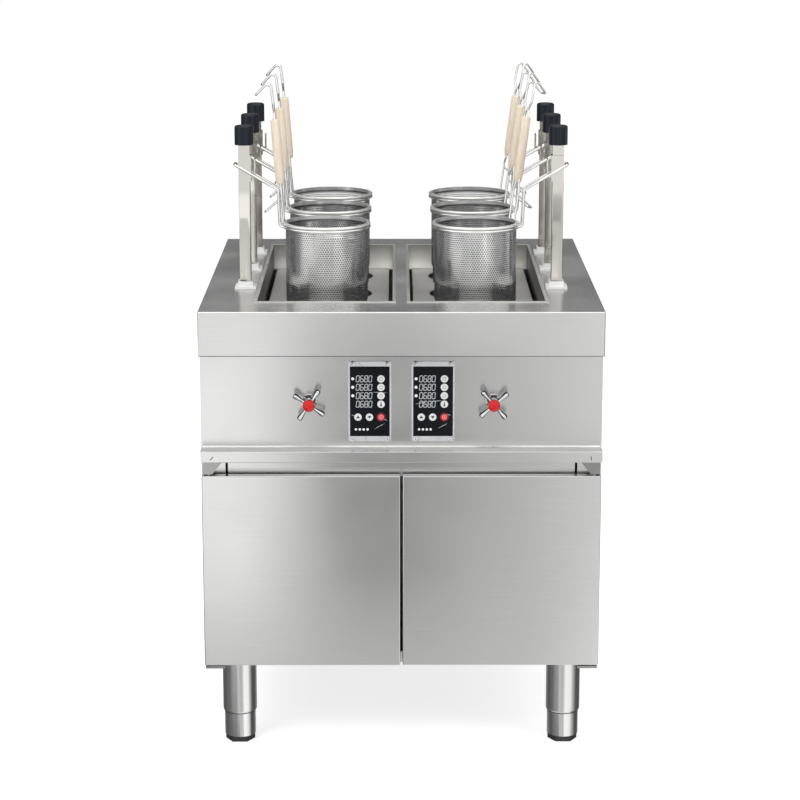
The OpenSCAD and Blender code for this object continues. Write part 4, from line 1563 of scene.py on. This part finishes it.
@dataclass
class Legs:
    """Leg sleeves and levelling feet."""

    pad_top: float = 0.0119
    leg_x: float = 0.311
    leg_y: float = 0.361
    sleeve_mm: float = 32.5
    bore_mm: float = 30.0
    chamfer_mm: tuple[float, float] = (1.9, 5.0)
    # Where the chamfer bends, as shares of its width and height; the painted shade reaches up to the bend
    chamfer_bend: tuple[float, float] = (0.6, 0.4)
    foot_edge_mm: float = 1.0
    foot_angle: float = 50.0

    def sleeves(self) -> None:
        """Turns the four sleeves, with a long chamfer at their lower ends."""
        low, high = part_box("leg_sleeves")
        z0, z1 = low.z / MM, high.z / MM
        inwards, up = self.chamfer_mm
        bend_in, bend_up = self.chamfer_bend
        profile = [
            (self.bore_mm, z0),
            (self.sleeve_mm - inwards, z0),
            (self.sleeve_mm - inwards * bend_in, z0 + up * bend_up),
            (self.sleeve_mm, z0 + up),
            (self.sleeve_mm, z1),
            (self.bore_mm, z1),
        ]
        sleeves = []
        for x in (-self.leg_x, self.leg_x):
            for y in (-self.leg_y, self.leg_y):
                sleeve = revolved(profile, 72)
                sleeve.transform(Matrix.Translation((x, y, 0.0)))
                sleeves.append(mesh_from(sleeve, "sleeve"))
        obj = finished(
            joined(*sleeves),
            "leg_sleeves_dressed",
            LEG_STEEL,
            "cabinet",
            "bright_steel",
            "leg_sleeves",
            angle=15.0,
        )
        # The chamfer below its bend gets a painted shade
        second_finish(obj, PAINTED_SHADE_STEEL, lambda face: face.center.z < low.z + bend_up * up * MM)

    def build(self, nodes: Nodes) -> None:
        """Turns the sleeves, and gives the feet a steel tube and a dark pad.

        Args:
            nodes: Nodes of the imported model.
        """
        self.sleeves()
        for side in Side:
            for end in ("front", "rear"):
                name = f"foot_{side.word}_{end}"
                foot = rounded_piece(
                    nodes[name],
                    self.foot_edge_mm,
                    LEG_STEEL,
                    name,
                    "dark_steel",
                    angle=self.foot_angle,
                    whole=False,
                )
                second_finish(foot, PAD_PLASTIC, lambda face: face.center.z < self.pad_top)


@dataclass
class Tap:
    """Water tap: a chrome cross handle with a red button."""

    side: Side
    axis_x: float = 0.172
    axis_z: float = 0.6717
    hub_y: float = -0.417
    arms: int = 4
    arm_depth_mm: float = 7.0
    button_mm: float = 11.5
    dome_mm: float = 6.0
    dull_turn: float = 0.8
    hub_mm: Pairs = (
        (0.0, 0.0), (8.2, 0.0), (9.4, 1.6), (9.6, 5.0), (9.0, 9.5), (7.6, 13.2), (6.4, 14.0), (0.0, 14.0),
    )
    arm_mm: Pairs = (
        (0.0, 5.0), (3.9, 5.0), (3.4, 9.0), (3.0, 13.5), (3.2, 18.0), (4.0, 22.5), (4.8, 26.5),
        (5.1, 29.5), (4.9, 31.8), (4.0, 33.2), (2.1, 33.9), (0.0, 34.0),
    )

    def spot(self, y: float) -> Matrix:
        """Returns the move to a place on the tap's axis."""
        return Matrix.Translation((self.side.value * self.axis_x, y, self.axis_z))

    def handle(self) -> None:
        """Turns the hub and the arms."""
        hub = revolved(self.hub_mm, 40)
        hub.transform(self.spot(self.hub_y) @ Matrix.Rotation(-math.pi / 2, 4, "X"))
        parts = [mesh_from(hub, "hub")]
        for i in range(self.arms):
            turn = math.tau * (i + 0.5) / self.arms - math.radians(TAP_TURN[self.side])
            arm = revolved(self.arm_mm, 24)
            arm.transform(self.spot(self.hub_y + self.arm_depth_mm * MM) @ Matrix.Rotation(turn, 4, "Y"))
            parts.append(mesh_from(arm, "arm"))
        node, body = f"tap_handle_{self.side.word}", f"tap_{self.side.word}"
        obj = finished(joined(*parts), f"{node}_dressed", TAP_CHROME, body, "chrome", node, angle=50.0)
        # Faces that turn away from the front get a painted shade
        second_finish(obj, TAP_SIDE_PAINTED_SHADE, lambda face: abs(face.normal.y) < self.dull_turn)

    def button(self) -> None:
        """Turns the domed button in front of the hub."""
        node, body = f"tap_button_{self.side.word}", f"tap_{self.side.word}"
        low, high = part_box(node)
        r, dome = self.button_mm, self.dome_mm
        depth = (high.y - low.y) / MM
        front = [(r * math.cos(a), depth - dome + dome * math.sin(a)) for a in quarter_turn()]
        bm = revolved([(0.0, 0.0), (r, 0.0), *front[:-1], (0.0, depth)], 40)
        bm.transform(self.spot(high.y) @ Matrix.Rotation(math.pi / 2, 4, "X"))
        finished(bm, f"{node}_dressed", BUTTON_PLASTIC, body, "red_plastic", node, angle=40.0)

    def build(self) -> None:
        """Builds the handle and its button."""
        self.handle()
        self.button()


@dataclass
class ControlPanels:
    """Two control panels: bezel, film, keys, lamps and four rows of digits each."""

    panel_x: float = 0.059
    panel_z: float = 0.6735
    face_y: float = -0.389
    bezel_edge_mm: float = 0.6
    rows: int = 4
    key_mm: float = 14.0
    key_proud: float = 0.6
    key_x: float = 21.0
    key_top: float = 43.2
    key_pitch: float = 16.1
    lower_x: tuple[float, float, float] = (-22.0, -0.6, 21.0)
    lower_z: float = -29.9
    # How far prints, lamps and creases stand out from what they are on
    print_mm: float = 0.1
    lamp_proud: float = 0.15
    crease_proud: float = 0.25
    # Diameters round the lit key, from its halo to the ring in its light
    halo_mm: float = 18.0
    light_mm: float = 10.0
    ring_mm: tuple[float, float] = (6.2, 4.0)
    square_mm: tuple[float, float] = (2.9, 1.9)
    stem_mm: tuple[float, float, float] = (0.8, -1.6, 3.8)
    bulb_mm: tuple[float, float] = (-2.4, 3.6)
    arrow_mm: tuple[float, float, float] = (3.7, -2.1, 3.0)
    lamps: int = 3
    lamp_x: float = -31.7
    lamp_mm: float = 5.6
    digit_x: float = -25.1
    digit_pitch: float = 7.8
    digit_w: float = 5.6
    digit_h: float = 11.6
    bar_mm: float = 1.5
    bar_gap: float = 0.15
    shown: tuple[int, ...] = (0, 6, 8, 0)
    slant: float = 0.09
    dots: int = 4
    dot_x: float = -26.0
    dot_z: float = -53.5
    dot_pitch: float = 7.2
    dot_mm: float = 4.6
    # Ends of the creases in each panel's film, as X and Z from its middle
    left_creases: tuple[tuple[float, ...], ...] = (
        (4.0, 17.6, 33.0, 16.8), (20.5, -32.0, 33.5, -36.5), (8.5, -53.0, 28.0, -41.5),
        (-33.8, -25.8, -27.5, -28.0),
    )
    right_creases: tuple[tuple[float, ...], ...] = (
        (-33.8, -5.0, -8.0, 0.2), (-8.0, 0.2, 18.0, 1.6), (9.0, -52.0, 27.5, -41.5),
        (25.0, -24.5, 33.8, -26.5),
    )
    crease_mm: float = 1.1
    screw_x: float = 0.0322
    screw_z: float = 0.073
    screw_mm: tuple[float, float] = (8.0, 3.2)

    def lay(
        self,
        bm: bmesh.types.BMesh,
        outline: Outline,
        proud: float,
        under: float = 0.0,
        sides: Sequence[Side] = tuple(Side),
    ) -> None:
        """Lays a thin plate on the panels.

        Args:
            bm: Edit mesh that gets it.
            outline: Corners in X and Z from a panel's middle, in millimetres, counter-clockwise.
            proud: How far its face stands out from the film, in millimetres.
            under: How far what it lies on stands out.
            sides: Sides of the panels that have it.
        """
        for side in sides:
            middle = side.value * self.panel_x
            corners = [(middle + x * MM, self.panel_z + z * MM) for x, z in outline]
            near, far = (
                [bm.verts.new((x, self.face_y - out * MM, z)) for x, z in corners] for out in (proud, under)
            )
            bm.faces.new(near)
            bm.faces.new(far[::-1])
            for i in range(len(outline)):
                j = (i + 1) % len(outline)
                bm.faces.new((near[j], near[i], far[i], far[j]))

    def sign(self, bm: bmesh.types.BMesh, key: tuple[float, float], *outlines: Outline) -> None:
        """Prints a sign on a key.

        Args:
            bm: Edit mesh that gets it.
            key: Middle of the key, in millimetres from the panel's middle.
            outlines: Parts of the sign, in millimetres from the key's middle.
        """
        for outline in outlines:
            corners = [(key[0] + x, key[1] + z) for x, z in outline]
            self.lay(bm, corners, self.key_proud + self.print_mm, self.key_proud)

    def keys(self) -> None:
        """Makes the white keys, their signs and the lit power keys."""
        white, icons, faint, halo, red, pink, mark = (bmesh.new() for _ in range(7))
        column = [(self.key_x, self.key_top - i * self.key_pitch) for i in range(self.rows)]
        up, down, power = ((x, self.lower_z) for x in self.lower_x)
        for key in [*column, up, down]:
            self.lay(white, disc(*key, self.key_mm), self.key_proud)
        outer, inner = ([(-a, -a), (a, -a), (a, a), (-a, a)] for a in self.square_mm)
        for key in column[:-1]:
            self.sign(faint, key, *band_between(outer, inner))
        side, low, high = self.stem_mm
        stem = [(-side, low), (side, low), (side, high), (-side, high)]
        bulb_z, bulb = self.bulb_mm
        self.sign(icons, column[-1], stem, disc(0.0, bulb_z, bulb, 16))
        wide, foot, tip = self.arrow_mm
        self.sign(icons, up, [(-wide, foot), (wide, foot), (0.0, tip)])
        self.sign(icons, down, [(0.0, -tip), (wide, -foot), (-wide, -foot)])
        self.lay(halo, disc(*power, self.halo_mm), self.print_mm)
        self.lay(red, disc(*power, self.key_mm), self.key_proud)
        self.sign(pink, power, disc(0.0, 0.0, self.light_mm))
        lit = self.key_proud + self.print_mm
        for part in band_between(*(disc(*power, size) for size in self.ring_mm)):
            self.lay(mark, part, lit + self.print_mm, lit)
        for bm, name, finish, slot, *stands_for in (
            (white, "panel_keys_white", KEY_WHITE, "key_white", "panel_keys"),
            (icons, "panel_key_icons", KEY_ICON, "black_film"),
            (faint, "panel_key_squares", KEY_FAINT, "key_white"),
            (halo, "panel_key_halos", KEY_HALO, "red_plastic"),
            (red, "panel_keys_lit", KEY_RED, "red_plastic", "panel_keys"),
            (pink, "panel_key_lights", KEY_PINK, "red_plastic"),
            (mark, "panel_key_rings", KEY_MARK, "red_plastic"),
        ):
            finished(bm, name, finish, "cabinet", slot, *stands_for)

    def lamps_and_digits(self) -> None:
        """Makes the lamp windows, the dots and the seven-segment digits."""
        lamps, digits = bmesh.new(), bmesh.new()
        heights = [self.key_top - i * self.key_pitch for i in range(self.rows)]
        windows = [disc(self.lamp_x, z, self.lamp_mm) for z in heights[: self.lamps]]
        dots = [disc(self.dot_x + i * self.dot_pitch, self.dot_z, self.dot_mm, 16) for i in range(self.dots)]
        for outline in windows + dots:
            self.lay(lamps, outline, self.lamp_proud)
        for height in heights:
            for i, digit in enumerate(self.shown):
                left = self.digit_x + i * self.digit_pitch
                for bar in self.segments(digit):
                    self.lay(digits, [(left + x, height + z) for x, z in bar], self.lamp_proud)
        finished(lamps, "panel_lamps", LAMP_WHITE, "cabinet", "key_white")
        finished(digits, "panel_digits", DIGIT_GREY, "cabinet", "key_white")

    def film_creases(self) -> None:
        """Makes the thin slivers where the clear film is creased, painted white as highlights."""
        bm = bmesh.new()
        for side, creases in ((Side.LEFT, self.left_creases), (Side.RIGHT, self.right_creases)):
            for x0, z0, x1, z1 in creases:
                along = Vector((x1 - x0, z1 - z0))
                half = Vector((-along.y, along.x)).normalized() * self.crease_mm / 2
                low, high = along * 0.7 - half, along * 0.3 + half
                corners = [(x0, z0), (x0 + low.x, z0 + low.y), (x1, z1), (x0 + high.x, z0 + high.y)]
                self.lay(bm, corners, self.crease_proud, sides=(side,))
        finished(bm, "panel_film_creases", CREASE_PAINTED_HIGHLIGHT, "cabinet", "key_white")

    def bar(self, length: float) -> Outline:
        """Gives a level bar of a digit.

        Args:
            length: Its length between the middles of its neighbours.

        Returns:
            Its outline, from its left end.
        """
        a, gap = self.bar_mm / 2, self.bar_gap
        return [(gap, 0.0), (a, -a), (length - a, -a), (length - gap, 0.0), (length - a, a), (a, a)]

    def segments(self, digit: int) -> list[Outline]:
        """Gives the bars of a seven-segment digit.

        Args:
            digit: The digit, which is 0, 6 or 8.

        Returns:
            Outline of each bar, in millimetres from the middle of the digit's left edge.
        """
        w, h = self.digit_w, self.digit_h / 2
        bars = [[(x, z + up) for x, z in self.bar(w)] for up in (-h, 0.0, h)]
        bars += [[(out - z, x + up) for x, z in self.bar(h)] for out in (0.0, w) for up in (-h, 0.0)]
        dark_bar = {0: 1, 6: 6}.get(digit)
        lit = [bar for i, bar in enumerate(bars) if i != dark_bar]
        return [[(x + z * self.slant, z) for x, z in bar] for bar in lit]

    def build(self, nodes: Nodes) -> None:
        """Builds everything that the panels show.

        Args:
            nodes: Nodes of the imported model.
        """
        bezels = nodes["panel_bezels"]
        rounded_piece(bezels, self.bezel_edge_mm, BEZEL_ALUMINIUM, "cabinet", "bright_steel")
        paint(nodes["panel_keypads"], PANEL_FILM)
        self.keys()
        self.lamps_and_digits()
        self.film_creases()
        places = [
            (side.value * self.panel_x + a * self.screw_x, self.face_y, self.panel_z + b * self.screw_z)
            for side in Side
            for a in (-1, 1)
            for b in (-1, 1)
        ]
        screws = ScrewSet("panel_screws", places, *self.screw_mm, Recess.CROSS, FRONT_TILT, SCREW_NICKEL)
        screws.build("cabinet")


@dataclass
class Studio:
    """Camera, pale floor, soft lamps and the grey cards that polished steel mirrors."""

    camera_at: Place = (-0.0134, -4.815, 1.690)
    camera_turn: Place = (77.10, 0.0, -0.139)
    lens_mm: float = 109.62
    sensor_mm: float = 36.0
    floor_size: float = 60.0
    floor_grey: float = 0.9
    floor_glow: float = 0.56
    world_light: float = 0.5
    card_radius: float = 2.2
    card_low: float = -3.0
    card_high: float = 4.0
    overhead_size: float = 2.6
    overhead_at: Place = (0.0, -0.3, 3.6)
    overhead_level: float = 2.2
    # Brightness of the cards by the angle from the front, to the right, for the legs, the front, the
    # lifts and the wires
    low_cards: Pairs = (
        (-120.0, 0.12), (-60.0, 0.18), (-24.0, 0.26), (-14.0, 0.7), (10.0, 0.75), (20.0, 1.5), (50.0, 1.3),
        (70.0, 0.5), (85.0, 0.12), (120.0, 0.1), (150.0, 0.34), (180.0, 0.4), (210.0, 0.34),
    )
    mid_cards: Pairs = (
        (-90.0, 0.12), (-62.0, 0.2), (-42.0, 1.3), (-20.0, 1.25), (-10.5, 1.3), (-8.0, 1.0), (-5.0, 0.45),
        (-1.0, 0.28), (2.0, 0.34), (5.0, 0.55), (9.0, 0.65), (14.0, 0.85), (30.0, 0.9), (42.0, 1.2),
        (62.0, 0.2), (90.0, 0.1), (108.0, 0.16), (130.0, 0.55), (180.0, 0.62), (230.0, 0.55), (252.0, 0.16),
    )
    high_cards: Pairs = (
        (-100.0, 0.14), (-78.0, 0.4), (-60.0, 1.6), (-46.0, 1.0), (-30.0, 0.7), (-11.0, 0.95), (3.0, 1.2),
        (11.0, 0.95), (25.0, 1.4), (47.0, 0.7), (64.0, 0.45), (80.0, 0.3), (98.0, 1.0), (108.0, 1.2),
        (118.0, 0.25), (140.0, 0.14), (180.0, 0.18), (230.0, 0.12),
    )
    sky_cards: Pairs = (
        (-112.0, 0.15), (-94.0, 1.2), (-60.0, 1.3), (0.0, 1.05), (60.0, 1.3), (94.0, 1.2), (112.0, 0.15),
        (180.0, 0.18),
    )
    # Heights between which each row of cards gives way to the next
    low_end: tuple[float, float] = (-0.32, -0.24)
    high_start: tuple[float, float] = (0.5, 0.57)
    sky_start: tuple[float, float] = (0.95, 1.1)
    # Where the front is on the way round the cards, from 0 to 1
    front_turn: float = 0.25
    lamp_aim: Place = (0.0, 0.0, 0.6)

    def camera(self) -> None:
        """Sets the camera at the photograph's viewing angle."""
        data = bpy.data.cameras.new("camera")
        data.lens = self.lens_mm
        data.sensor_width = self.sensor_mm
        obj = bpy.data.objects.new("camera", data)
        obj.location = self.camera_at
        obj.rotation_euler = tuple(math.radians(a) for a in self.camera_turn)
        bpy.context.scene.collection.objects.link(obj)
        bpy.context.scene.camera = obj

    def world(self) -> None:
        """Makes the surroundings white to the camera and in reflections, and softer as a light."""
        world = bpy.data.worlds.new("studio")
        world.use_nodes = True
        tree = world.node_tree
        ray = add_node(tree, "ShaderNodeLightPath").outputs
        seen = ray["Is Camera Ray"]
        for name in ("Is Glossy Ray", "Is Transmission Ray"):
            seen = add_node(tree, "ShaderNodeMath", {0: seen, 1: ray[name]}, operation="MAXIMUM")
        power = add_node(tree, "ShaderNodeMapRange", {0: seen, 3: self.world_light, 4: 1.0})
        feed(tree, tree.nodes["Background"], {"Color": WHITE, "Strength": power})
        bpy.context.scene.world = world

    def floor(self) -> None:
        """Lays a pale floor that looks white and keeps the object's shadow."""
        material, tree, shader = start_material("studio_floor")
        ray = add_node(tree, "ShaderNodeLightPath").outputs["Is Camera Ray"]
        inputs = {
            "Base Color": (self.floor_grey, self.floor_grey, self.floor_grey, 1.0),
            "Roughness": 0.9,
            "Specular IOR Level": 0.0,
            "Emission Color": WHITE,
            "Emission Strength": add_node(tree, "ShaderNodeMapRange", {0: ray, 3: 0.0, 4: self.floor_glow}),
        }
        feed(tree, shader, inputs)
        bm = bmesh.new()
        bmesh.ops.create_grid(bm, x_segments=1, y_segments=1, size=self.floor_size / 2)
        floor = link_object("studio_floor", mesh_from(bm, "studio_floor"))
        floor.data.materials.append(material)
        floor.visible_glossy = False

    @staticmethod
    def card(name: str, bm: bmesh.types.BMesh) -> bpy.types.NodeTree:
        """Stands a card that only reflections show.

        Args:
            name: Name of the card.
            bm: Its shape, which is freed.

        Returns:
            The tree of its material, still empty.
        """
        material, tree, _ = start_material(name)
        tree.nodes.clear()
        card = link_object(name, mesh_from(bm, name))
        card.data.materials.append(material)
        card.visible_camera = False
        card.visible_diffuse = False
        card.visible_shadow = False
        card.visible_transmission = False
        return tree

    def card_ring(self) -> None:
        """Stands a ring of cards round the object."""
        bm = bmesh.new()
        bmesh.ops.create_cone(
            bm,
            cap_ends=False,
            segments=96,
            radius1=self.card_radius,
            radius2=self.card_radius,
            depth=self.card_high - self.card_low,
        )
        bm.transform(Matrix.Translation((0.0, 0.0, (self.card_high + self.card_low) / 2)))
        tree = self.card("studio_cards", bm)
        place = add_node(tree, "ShaderNodeTexCoord").outputs["Object"]
        sweep = add_node(tree, "ShaderNodeTexGradient", {"Vector": place}, gradient_type="RADIAL")
        height = add_node(tree, "ShaderNodeSeparateXYZ", {0: place}).outputs[2]
        rows = []
        for cards in (self.low_cards, self.mid_cards, self.high_cards, self.sky_cards):
            ramp = add_node(tree, "ShaderNodeValToRGB", {"Fac": sweep.outputs["Fac"]})
            stops = ramp.color_ramp.elements
            marks = sorted(((self.front_turn + angle / 360) % 1.0, level) for angle, level in cards)
            while len(stops) < len(marks):
                stops.new(0.5)
            for stop, (spot, level) in zip(stops, marks):
                stop.position = spot
                stop.color = (level, level, level, 1.0)
            rows.append(ramp.outputs["Color"])
        shown = rows[0]
        for row, (low, high) in zip(rows[1:], (self.low_end, self.high_start, self.sky_start)):
            share = add_node(tree, "ShaderNodeMapRange", {0: height, 1: low, 2: high})
            levels = {0: share, 6: shown, 7: row}
            shown = add_node(tree, "ShaderNodeMix", levels, data_type="RGBA").outputs[2]
        light = add_node(tree, "ShaderNodeEmission", {"Color": shown, "Strength": 1.0})
        add_node(tree, "ShaderNodeOutputMaterial", {"Surface": light})

    def overhead(self) -> None:
        """Hangs a bright card overhead."""
        bm = bmesh.new()
        bmesh.ops.create_grid(bm, x_segments=1, y_segments=1, size=self.overhead_size / 2)
        bm.transform(Matrix.Translation(self.overhead_at))
        tree = self.card("studio_overhead", bm)
        light = add_node(tree, "ShaderNodeEmission", {"Color": WHITE, "Strength": self.overhead_level})
        add_node(tree, "ShaderNodeOutputMaterial", {"Surface": light})

    def lamp(self, name: str, at: Place, size: float, watts: float) -> None:
        """Hangs a soft lamp that shines on the middle of the object.

        Args:
            name: Name of the lamp.
            at: Its place.
            size: Side of its square face.
            watts: Its power.
        """
        data = bpy.data.lights.new(name, "AREA")
        data.size = size
        data.energy = watts
        lamp = bpy.data.objects.new(name, data)
        lamp.location = at
        aim = Vector(self.lamp_aim) - Vector(at)
        lamp.rotation_euler = aim.to_track_quat("-Z", "Y").to_euler()
        lamp.visible_glossy = False
        bpy.context.scene.collection.objects.link(lamp)

    def build(self) -> None:
        """Sets up everything round the object."""
        self.camera()
        self.world()
        self.floor()
        self.card_ring()
        self.overhead()
        self.lamp("key_lamp", at=(-2.0, -2.6, 3.4), size=2.4, watts=70.0)
        self.lamp("fill_lamp", at=(2.6, -1.8, 2.6), size=2.4, watts=30.0)
        self.lamp("top_lamp", at=(0.0, 0.6, 3.8), size=2.6, watts=30.0)
        bpy.context.scene.view_settings.view_transform = "Standard"


def main() -> None:
    """Builds the pieces in order."""
    logging.basicConfig(level=logging.INFO, format="%(name)s: %(message)s")
    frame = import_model()
    nodes = frame["nodes"]
    Studio().build()
    Cabinet().build(nodes)
    Doors().build(nodes)
    Legs().build(nodes)
    ControlPanels().build(nodes)
    for side in Side:
        Tap(side).build()
    paint(nodes["tap_bodies"], TAP_CHROME)
    pattern = PunchedCup().mesh()
    for side in Side:
        for row in Row:
            place = LiftPlace(side, row)
            Lift(place).build(nodes)
            basket = Basket(place)
            basket.cup(pattern)
            basket.frame()
            basket.grip()
    bpy.data.meshes.remove(pattern)


if __name__ == "__main__":
    main()
